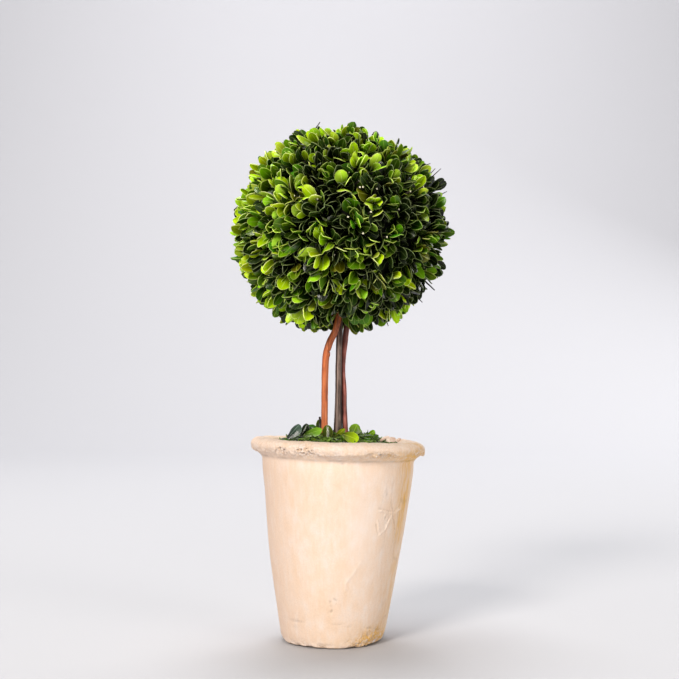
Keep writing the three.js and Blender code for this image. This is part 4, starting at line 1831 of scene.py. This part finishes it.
@dataclass
class LeafLitter:
    """The bed of clippings: a low mound, fine shreds, cut leaves lying on it and a few dry chips."""

    stems: list[BareStem]
    blades: dict[LeafForm, LeafBlade]
    pot: ClayPot
    fill_top: float = 146.0
    gap: float = 0.3
    edge_height: float = 150.4
    crown_height: float = 156.2
    rings: int = 13
    ring: float = 3.6
    clippings: int = 34
    fine_clippings: int = 260
    clipping_length: float = 12.0
    clipping_depth: float = 2.0
    rim_room: float = 7.0
    tip_room: float = 3.0
    roll: float = 0.8
    shred_count: int = 820
    # The width and rise of a shred's rows, end to end.
    shred_rows: tuple[tuple[float, float], ...] = (
        (0.25, 0.0), (1.0, 0.5), (0.8, 0.75), (1.0, 0.5), (0.2, -0.1)
    )
    seed: int = 20

    @property
    def edge(self) -> float:
        """Give the bed's radius."""
        return self.pot.mouth_radius - self.gap

    def mound_height(self, x: float | np.ndarray, y: float | np.ndarray) -> float | np.ndarray:
        """Give the mound's height over a place, lower at the right, where the litter has slipped.

        Args:
            x: across, in millimetres.
            y: back, in millimetres.

        Returns:
            The height in millimetres.
        """
        outward = (np.hypot(x - self.pot.lean, y) / self.edge).clip(0, 1)
        slipped = 2.8 * eased(x, 24.0, 44.0)
        return self.crown_height + (self.edge_height - self.crown_height) * outward**2 - slipped

    def bed(self) -> Piece:
        """Raise the mound from a filled circle, ring by ring inwards, and crumble its top.

        Returns:
            The bed.
        """
        pick_nothing()
        middle = Vector((self.pot.lean, 0, self.fill_top + self.gap)) * MM
        bpy.ops.mesh.primitive_circle_add(
            vertices=48, radius=self.edge * MM, fill_type="NGON", location=middle
        )
        bed = bpy.context.object
        bed.name = "litter_bed"
        with edit_mode():
            rise = (self.edge_height - self.fill_top - self.gap) * MM
            bpy.ops.mesh.extrude_region_move(TRANSFORM_OT_translate={"value": (0, 0, rise)})
            for _ in range(self.rings):
                bpy.ops.mesh.inset(thickness=self.ring * MM)
            bpy.ops.mesh.select_all(action="SELECT")
            bpy.ops.mesh.normals_make_consistent(inside=False)
        bpy.ops.object.transform_apply()
        add_subdivision(bed, 2)
        points = points_of(bed.data) / MM
        out = np.hypot(points[:, 0] - self.pot.lean, points[:, 1]) / self.edge
        top = eased(points[:, 2], self.edge_height - 1.5, self.edge_height - 0.3)
        rough = 1.1 * unevenness(points * (1, 1, 0), 6.0, 41, 3) + 0.7 * unevenness(points, 1.8, 42)
        lifted = self.mound_height(points[:, 0], points[:, 1]) - self.edge_height
        points[:, 2] += top * (lifted + rough * (1 - 0.6 * eased(out, 0.93, 1.0)))
        # The pot's wall widens upwards, and the clippings lie against it.
        spread = 1 + 0.026 * top * eased(out, 0.97, 1.0)
        points[:, 0] = self.pot.lean + (points[:, 0] - self.pot.lean) * spread
        points[:, 1] *= spread
        set_points(bed.data, points * MM)
        return bed

    def stands_clear(self, places: Iterable[Vector], room: float) -> bool:
        """Say whether points are inside the mouth and clear of every stem.

        Args:
            places: the points in millimetres.
            room: how far from a stem they must be.

        Returns:
            True where all of them are.
        """
        for place in places:
            if math.hypot(place.x - self.pot.lean, place.y) > self.edge - self.tip_room:
                return False
            if any(stem.touches(place, room) for stem in self.stems):
                return False
        return True

    def scattered(self, spray: Spray, draw: Callable[[], float], count: int, finer: bool) -> None:
        """Scatter clippings over the mound by the source's rule.

        Args:
            spray: what the leaves are added to.
            draw: the seeded stream.
            count: how many are tried.
            finer: whether they are the smaller, flatter ones that fill in between.
        """
        for i in range(count):
            out = math.sqrt((i + 0.5) / count) * (self.edge - self.rim_room)
            turn = i * GOLDEN_ANGLE + (1.1 if finer else 0.0)
            foot = Vector((out * math.cos(turn) + self.pot.lean, out * math.sin(turn), 0.0))
            foot.z = self.mound_height(foot.x, foot.y) - self.clipping_depth + 0.8
            heading = Vector((draw() - 0.5, draw() - 0.5, 0.18 + 0.42 * draw()))
            length = self.clipping_length * (0.7 + 0.5 * draw())
            if finer:
                heading.z = 0.5 * heading.z - 0.06
                length *= 0.55
            tip = foot + heading.normalized() * length
            roll = (draw() - 0.5) * 2 * self.roll
            form, tile = draw_leaf(draw)
            if not self.stands_clear((foot, tip), 2.5 if finer else 4.0):
                continue
            # What stands up in front or at the right would hide the leaves listed one by one.
            if not finer and (foot.y < 8 or foot.x > 20):
                continue
            size = (length / BLADE_MM, 0.9 * length / BLADE_MM)
            spray.add(frame_along(heading, roll), foot, size, form, tile)

    def laid_by_hand(self) -> list[tuple]:
        """Give the leaves that show over the rim: foot, tip, facing, width, form and tint.

        Returns:
            One row per leaf, in millimetres.
        """
        up = (0.0, -0.5, 0.85)
        return [
            ((-34.9, -22, 154.0), (-25.8, -21, 165.6), (-0.75, -0.65, 0.1), 1.3, "CUPPED", "GREY"),
            ((-25.0, -5, 155.6), (-20.4, -5, 165.4), (-0.5, -0.85, 0.1), 0.95, "ROLLED", "DARK"),
            ((-9.2, -3, 159.8), (-21.6, -2, 161.6), (0.0, -0.9, 0.3), 1.15, "CURLED", "MID"),
            ((-22.4, -25, 157.0), (-8.2, -26, 161.6), (0.0, -0.8, 0.6), 1.06, "FLAT", "FRESH"),
            ((-4.6, -31, 151.2), (-4.9, -28, 165.0), (-0.42, -0.9, 0.05), 1.1, "CUPPED", "BROWN"),
            ((1.2, -13, 154.4), (-3.0, -11, 163.4), (0.6, -0.7, 0.1), 0.7, "CURLED", "DARK"),
            ((7.4, -26, 155.4), (-1.0, -27, 158.4), (0.1, -0.7, 0.7), 0.48, "CURLED", "BROWN"),
            ((1.0, -25, 155.4), (9.0, -22, 162.0), (-0.3, -0.8, 0.5), 0.7, "FLAT", "OLIVE"),
            ((6.6, -42, 159.0), (19.1, -44, 154.6), (0.05, -0.93, 0.35), 1.16, "FLAT", "LIME"),
            ((14.0, -15, 155.0), (18.6, -12, 165.4), (-0.1, -0.98, 0.15), 1.12, "CUPPED", "FRESH"),
            ((20.4, -12, 155.4), (18.4, -10, 165.6), (0.95, -0.3, 0.1), 0.7, "ROLLED", "DARK"),
            ((22.0, -26, 156.0), (29.6, -28, 158.4), up, 0.8, "CURLED", "MID"),
            ((25.0, -19, 155.4), (31.5, -22, 160.4), (-0.3, -0.8, 0.4), 0.66, "CUPPED", "FRESH"),
            ((20.0, -33, 154.2), (28.0, -35, 156.0), up, 0.6, "CURLED", "MID"),
            ((27.0, -31, 153.4), (34.0, -30, 158.0), (-0.4, -0.7, 0.4), 0.6, "ROLLED", "MID"),
            ((33.9, -23, 151.0), (32.7, -21, 159.2), (0.8, -0.6, 0.1), 0.42, "ROLLED", "DARK"),
            ((-30.0, -33, 151.6), (-19.5, -37, 154.4), up, 0.5, "CURLED", "DARK"),
            ((-27.0, -30, 152.4), (-36.0, -27, 155.2), up, 0.4, "ROLLED", "MID"),
            ((-16.0, -38, 152.0), (-7.0, -40, 153.8), up, 0.5, "FLAT", "MID"),
            ((22.0, -38, 151.4), (12.0, -40, 153.4), up, 0.5, "CUPPED", "DARK"),
            ((-38.0, -20, 151.8), (-44.0, -17, 154.2), up, 0.3, "ROLLED", "DARK"),
        ]

    def leaves(self) -> dict[LitterTint, Spray]:
        """Lay the litter's leaves.

        Returns:
            The leaves of each litter tint.
        """
        sprays = {tint: Spray() for tint in LitterTint}
        draw = seeded_stream(self.seed)
        coarse = Spray()
        self.scattered(coarse, draw, self.clippings, False)
        self.scattered(coarse, draw, self.fine_clippings, True)
        # These tints are dealt in turn, a little out of step.
        dealt = ("DARK", "MID", "DARK", "DARK", "MID", "DARK", "FRESH", "BROWN")
        for n, parts in enumerate(zip(coarse.frames, coarse.feet, coarse.forms, coarse.tiles)):
            target = sprays[LitterTint[dealt[(n * 5 + n // 7) % len(dealt)]]]
            for row, value in zip((target.frames, target.feet, target.forms, target.tiles), parts):
                row.append(value)
        for n, (foot, tip, facing, width, form, tint) in enumerate(self.laid_by_hand()):
            way = Vector(tip) - Vector(foot)
            x = way.normalized()
            y = Vector(facing).cross(x).normalized()
            turn = Matrix((x, y, x.cross(y))).transposed()
            size = (way.length / BLADE_MM, width)
            spray = sprays[LitterTint[tint]]
            spray.add(turn, Vector(foot), size, LeafForm[form], (n * 7) % (TILES * TILES))
        return sprays

    def shreds(self) -> Piece:
        """Model one curled shred, copy it over the mound and join the copies.

        Returns:
            The shreds as one mesh.
        """
        pick_nothing()
        bpy.ops.mesh.primitive_grid_add(x_subdivisions=4, y_subdivisions=1, size=2, location=(0, 0, 0))
        shred = bpy.context.object
        with edit_mode():
            for row, (wide, rise) in enumerate(self.shred_rows):
                start = row / 2 - 1
                pick_points(shred, lambda co, at=start: abs(co.x - at) < 0.01)
                bpy.ops.transform.resize(value=(1, 0.58 * wide, 1), center_override=(start, 0, 0))
                bpy.ops.transform.translate(value=(start * 2.2, 0.35 * rise, rise))
        skin = shred.modifiers.new("thickness", "SOLIDIFY")
        skin.thickness = 0.4
        apply_modifiers(shred)
        own = points_of(shred.data)
        faces = np.array([list(face.vertices) for face in shred.data.polygons])
        bpy.data.objects.remove(shred)
        draw = seeded_stream(self.seed + 1)
        copies = []
        for _ in range(self.shred_count):
            out = math.sqrt(draw()) * self.edge
            turn = draw() * math.tau
            beside = eased(out, self.edge - 5, self.edge - 3)
            foot = Vector((out * math.cos(turn) + self.pot.lean, out * math.sin(turn), 0.0))
            # None stand up under the chips at the right, or under the bright leaf in front.
            foot.z = self.mound_height(foot.x, foot.y) + 0.2 + 1.2 * draw() * (foot.x < 36)
            if foot.y < -36 and 4 < foot.x < 21:
                foot.z -= 1.2
            heading = Vector((draw() - 0.5, 0.8 * (draw() - 0.5), 0.3 * (draw() - 0.5)))
            heading = heading.lerp(Vector((-math.sin(turn), math.cos(turn), 0.1)), 0.85 * beside)
            size = 0.75 + 0.9 * draw()
            spin = np.array(frame_along(heading, draw() * math.tau)) * size
            points = (own @ spin.T + np.array(foot)) * MM
            copies.append((points, faces.ravel(), np.full(len(faces), 4), np.zeros(len(faces))))
        return joined_mesh("litter_shreds", copies)

    def chips(self) -> Piece:
        """Model the curled dry chips that lie on the litter, each bent from its own small sheet.

        Returns:
            The chips as one mesh.
        """
        made = []
        for name, place, size, turn, curl in (
            ("chip_a", (37.8, -20, 153.8), (10.6, 3.0), (0.6, -0.42, 0.1), 0.5),
            ("chip_b", (44.8, -4, 152.8), (7.4, 5.4), (0.9, 0.05, -0.2), 0.3),
            ("chip_c", (50.4, -9, 152.8), (3.8, 2.4), (0.9, -0.6, 0.4), 0.4),
            ("chip_d", (-36.0, 8, 153.4), (5.5, 3.0), (0.4, 0.2, 1.9), 0.9),
            ("chip_e", (12.0, 34, 153.4), (6.0, 3.2), (0.3, -0.2, 2.6), 1.0),
        ):
            pick_nothing()
            bpy.ops.mesh.primitive_grid_add(x_subdivisions=10, y_subdivisions=6, size=1, location=(0, 0, 0))
            chip = bpy.context.object
            chip.name = name
            with edit_mode():
                bpy.ops.transform.resize(value=(size[0] * MM, size[1] * MM, 1), center_override=(0, 0, 0))
            points = points_of(chip.data) / MM
            ends = 1 - 0.5 * (2 * points[:, 0] / size[0]) ** 2
            points[:, 1] *= ends
            points[:, 2] = curl * (2 * points[:, 1] / size[1]) ** 2 + 0.5 * curl * np.sin(points[:, 0])
            points += 0.25 * unevenness(points + len(made) * 9, 2.0, 43)[:, None]
            set_points(chip.data, points * MM)
            skin = chip.modifiers.new("thickness", "SOLIDIFY")
            skin.thickness = 0.35 * MM
            apply_modifiers(chip)
            chip.rotation_euler = turn
            chip.location = Vector(place) * MM
            made.append(chip)
        pick(*made)
        bpy.ops.object.transform_apply()
        bpy.ops.object.join()
        chips = bpy.context.object
        chips.name = "litter_chips"
        bpy.ops.object.transform_apply()
        return chips

    def build(self) -> None:
        """Make the bed, shreds, leaves and chips in place of the CAD litter."""
        soil = Mottled("damp leaf mould", "#10170a", "#33421a", 2.0, 0.85, 0.9)
        finish_piece(self.bed(), ["leaf_litter"], [soil.material()], crease=70)
        green = Mottled("shredded green leaf", "#12240a", "#82a840", 4.0, 0.4, 0.2)
        finish_piece(self.shreds(), ["leaf_litter"], [green.material()])
        for tint, spray in self.leaves().items():
            label = tint.name.lower()
            leaves = spray.join(f"litter_leaves_{label}", self.blades)
            skins = leaf_skins(f"cut leaf, {label}", *tint.value)
            finish_piece(leaves, ["leaf_litter"], skins)
        peel = Mottled("dry wood chip", "#c09c88", "#f4e4d6", 4.5, 0.7, 0.25)
        finish_piece(self.chips(), ["leaf_litter"], [peel.material()], crease=50)


@dataclass
class Studio:
    """A pale table top under soft boxes, seen by a camera at the photograph's angle."""

    camera_place: tuple[float, float, float] = (5.06, -905.0, 191.0)
    tilt: float = 2.5
    focal_px: float = 1163.0
    frame_px: float = 679.0
    sensor: float = 36.0
    paper: Mottled = Mottled("pale matt studio paper", "#b8b8bb", "#bababd", 1.5, 0.85, 0.0)

    def lamp(self, name: str, place: tuple, aim: tuple, size: float, power: float, tone: str) -> None:
        """Hang one soft box.

        Args:
            name: what it is called.
            place: where it hangs, in metres.
            aim: what it points at, in metres.
            size: its side, in metres.
            power: its power in watts.
            tone: its colour.
        """
        pick_nothing()
        bpy.ops.object.light_add(type="AREA", location=place)
        box = bpy.context.object
        box.name = name
        box.data.shape = "SQUARE"
        box.data.size = size
        box.data.energy = power
        box.data.color = linear(tone)[:3]
        box.rotation_euler = (Vector(aim) - Vector(place)).to_track_quat("-Z", "Y").to_euler()

    def sweep(self) -> None:
        """Roll the paper out as a floor that rises behind the plant in one soft curve."""
        pick_nothing()
        bpy.ops.mesh.primitive_plane_add(size=18, location=(0, -4.4, -0.0002))
        paper = bpy.context.object
        paper.name = "studio_sweep"
        with edit_mode():
            pick_points(paper, lambda co: co.y > 8.9)
            bpy.ops.mesh.extrude_region_move(TRANSFORM_OT_translate={"value": (0, 0, 7)})
            bpy.ops.mesh.select_mode(type="EDGE")
            cage = bmesh.from_edit_mesh(paper.data)
            for edge in cage.edges:
                edge.select = all(v.co.y > 8.9 and abs(v.co.z) < 0.01 for v in edge.verts)
            bmesh.update_edit_mesh(paper.data)
            bpy.ops.mesh.bevel(offset=2.2, offset_type="OFFSET", segments=16)
            bpy.ops.mesh.select_mode(type="VERT")
        paper.data.materials.append(self.paper.material())
        pick(paper)
        bpy.ops.object.shade_smooth()

    def build(self) -> None:
        """Lay the paper, hang the lights, light the room and set up the camera."""
        self.sweep()
        middle = (0, 0, 0.22)
        self.lamp("key_box", (-2.1, -3.6, 2.4), middle, 1.3, 194.0, "#fff8f0")
        self.lamp("fill_box", (3.3, -2.9, 1.1), middle, 1.6, 64.0, "#fff8f0")
        self.lamp("top_box", (-0.3, 0.5, 3.6), middle, 1.6, 95.0, "#ffffff")
        self.lamp("back_box", (2.2, 3.0, 1.9), middle, 1.6, 40.0, "#ffffff")
        self.lamp("paper_box", (0, 2.6, 4.6), (0, 4.6, 2.6), 1.6, 158.0, "#fbfbff")
        world = bpy.data.worlds.new("studio room")
        world.use_nodes = True
        feed(world.node_tree.nodes["Background"], {"Color": linear("#f0f0f4"), "Strength": 0.22})
        bpy.context.scene.world = world
        bpy.context.scene.view_settings.view_transform = "Standard"
        bpy.ops.object.camera_add(
            location=Vector(self.camera_place) * MM,
            rotation=(math.radians(90 + self.tilt), 0, 0),
        )
        camera = bpy.context.object
        camera.data.sensor_width = self.sensor
        camera.data.lens = self.focal_px / self.frame_px * self.sensor
        camera.data.clip_start = 0.01
        bpy.context.scene.camera = camera


def main() -> None:
    """Build the topiary's pieces in order and report each."""
    logging.basicConfig(level=logging.INFO, format="%(name)s: %(message)s")
    pot = ClayPot()
    pot.build()
    PottingFill().dress()
    stems = bare_stems()
    for stem in stems:
        stem.build()
    blades = {form: LeafBlade(form) for form in LeafForm}
    for blade in blades.values():
        blade.model()
    ClippedBall(stems, blades=blades).build()
    LeafLitter(stems, blades, pot).build()
    Studio().build()
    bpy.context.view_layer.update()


if __name__ == "__main__":
    main()
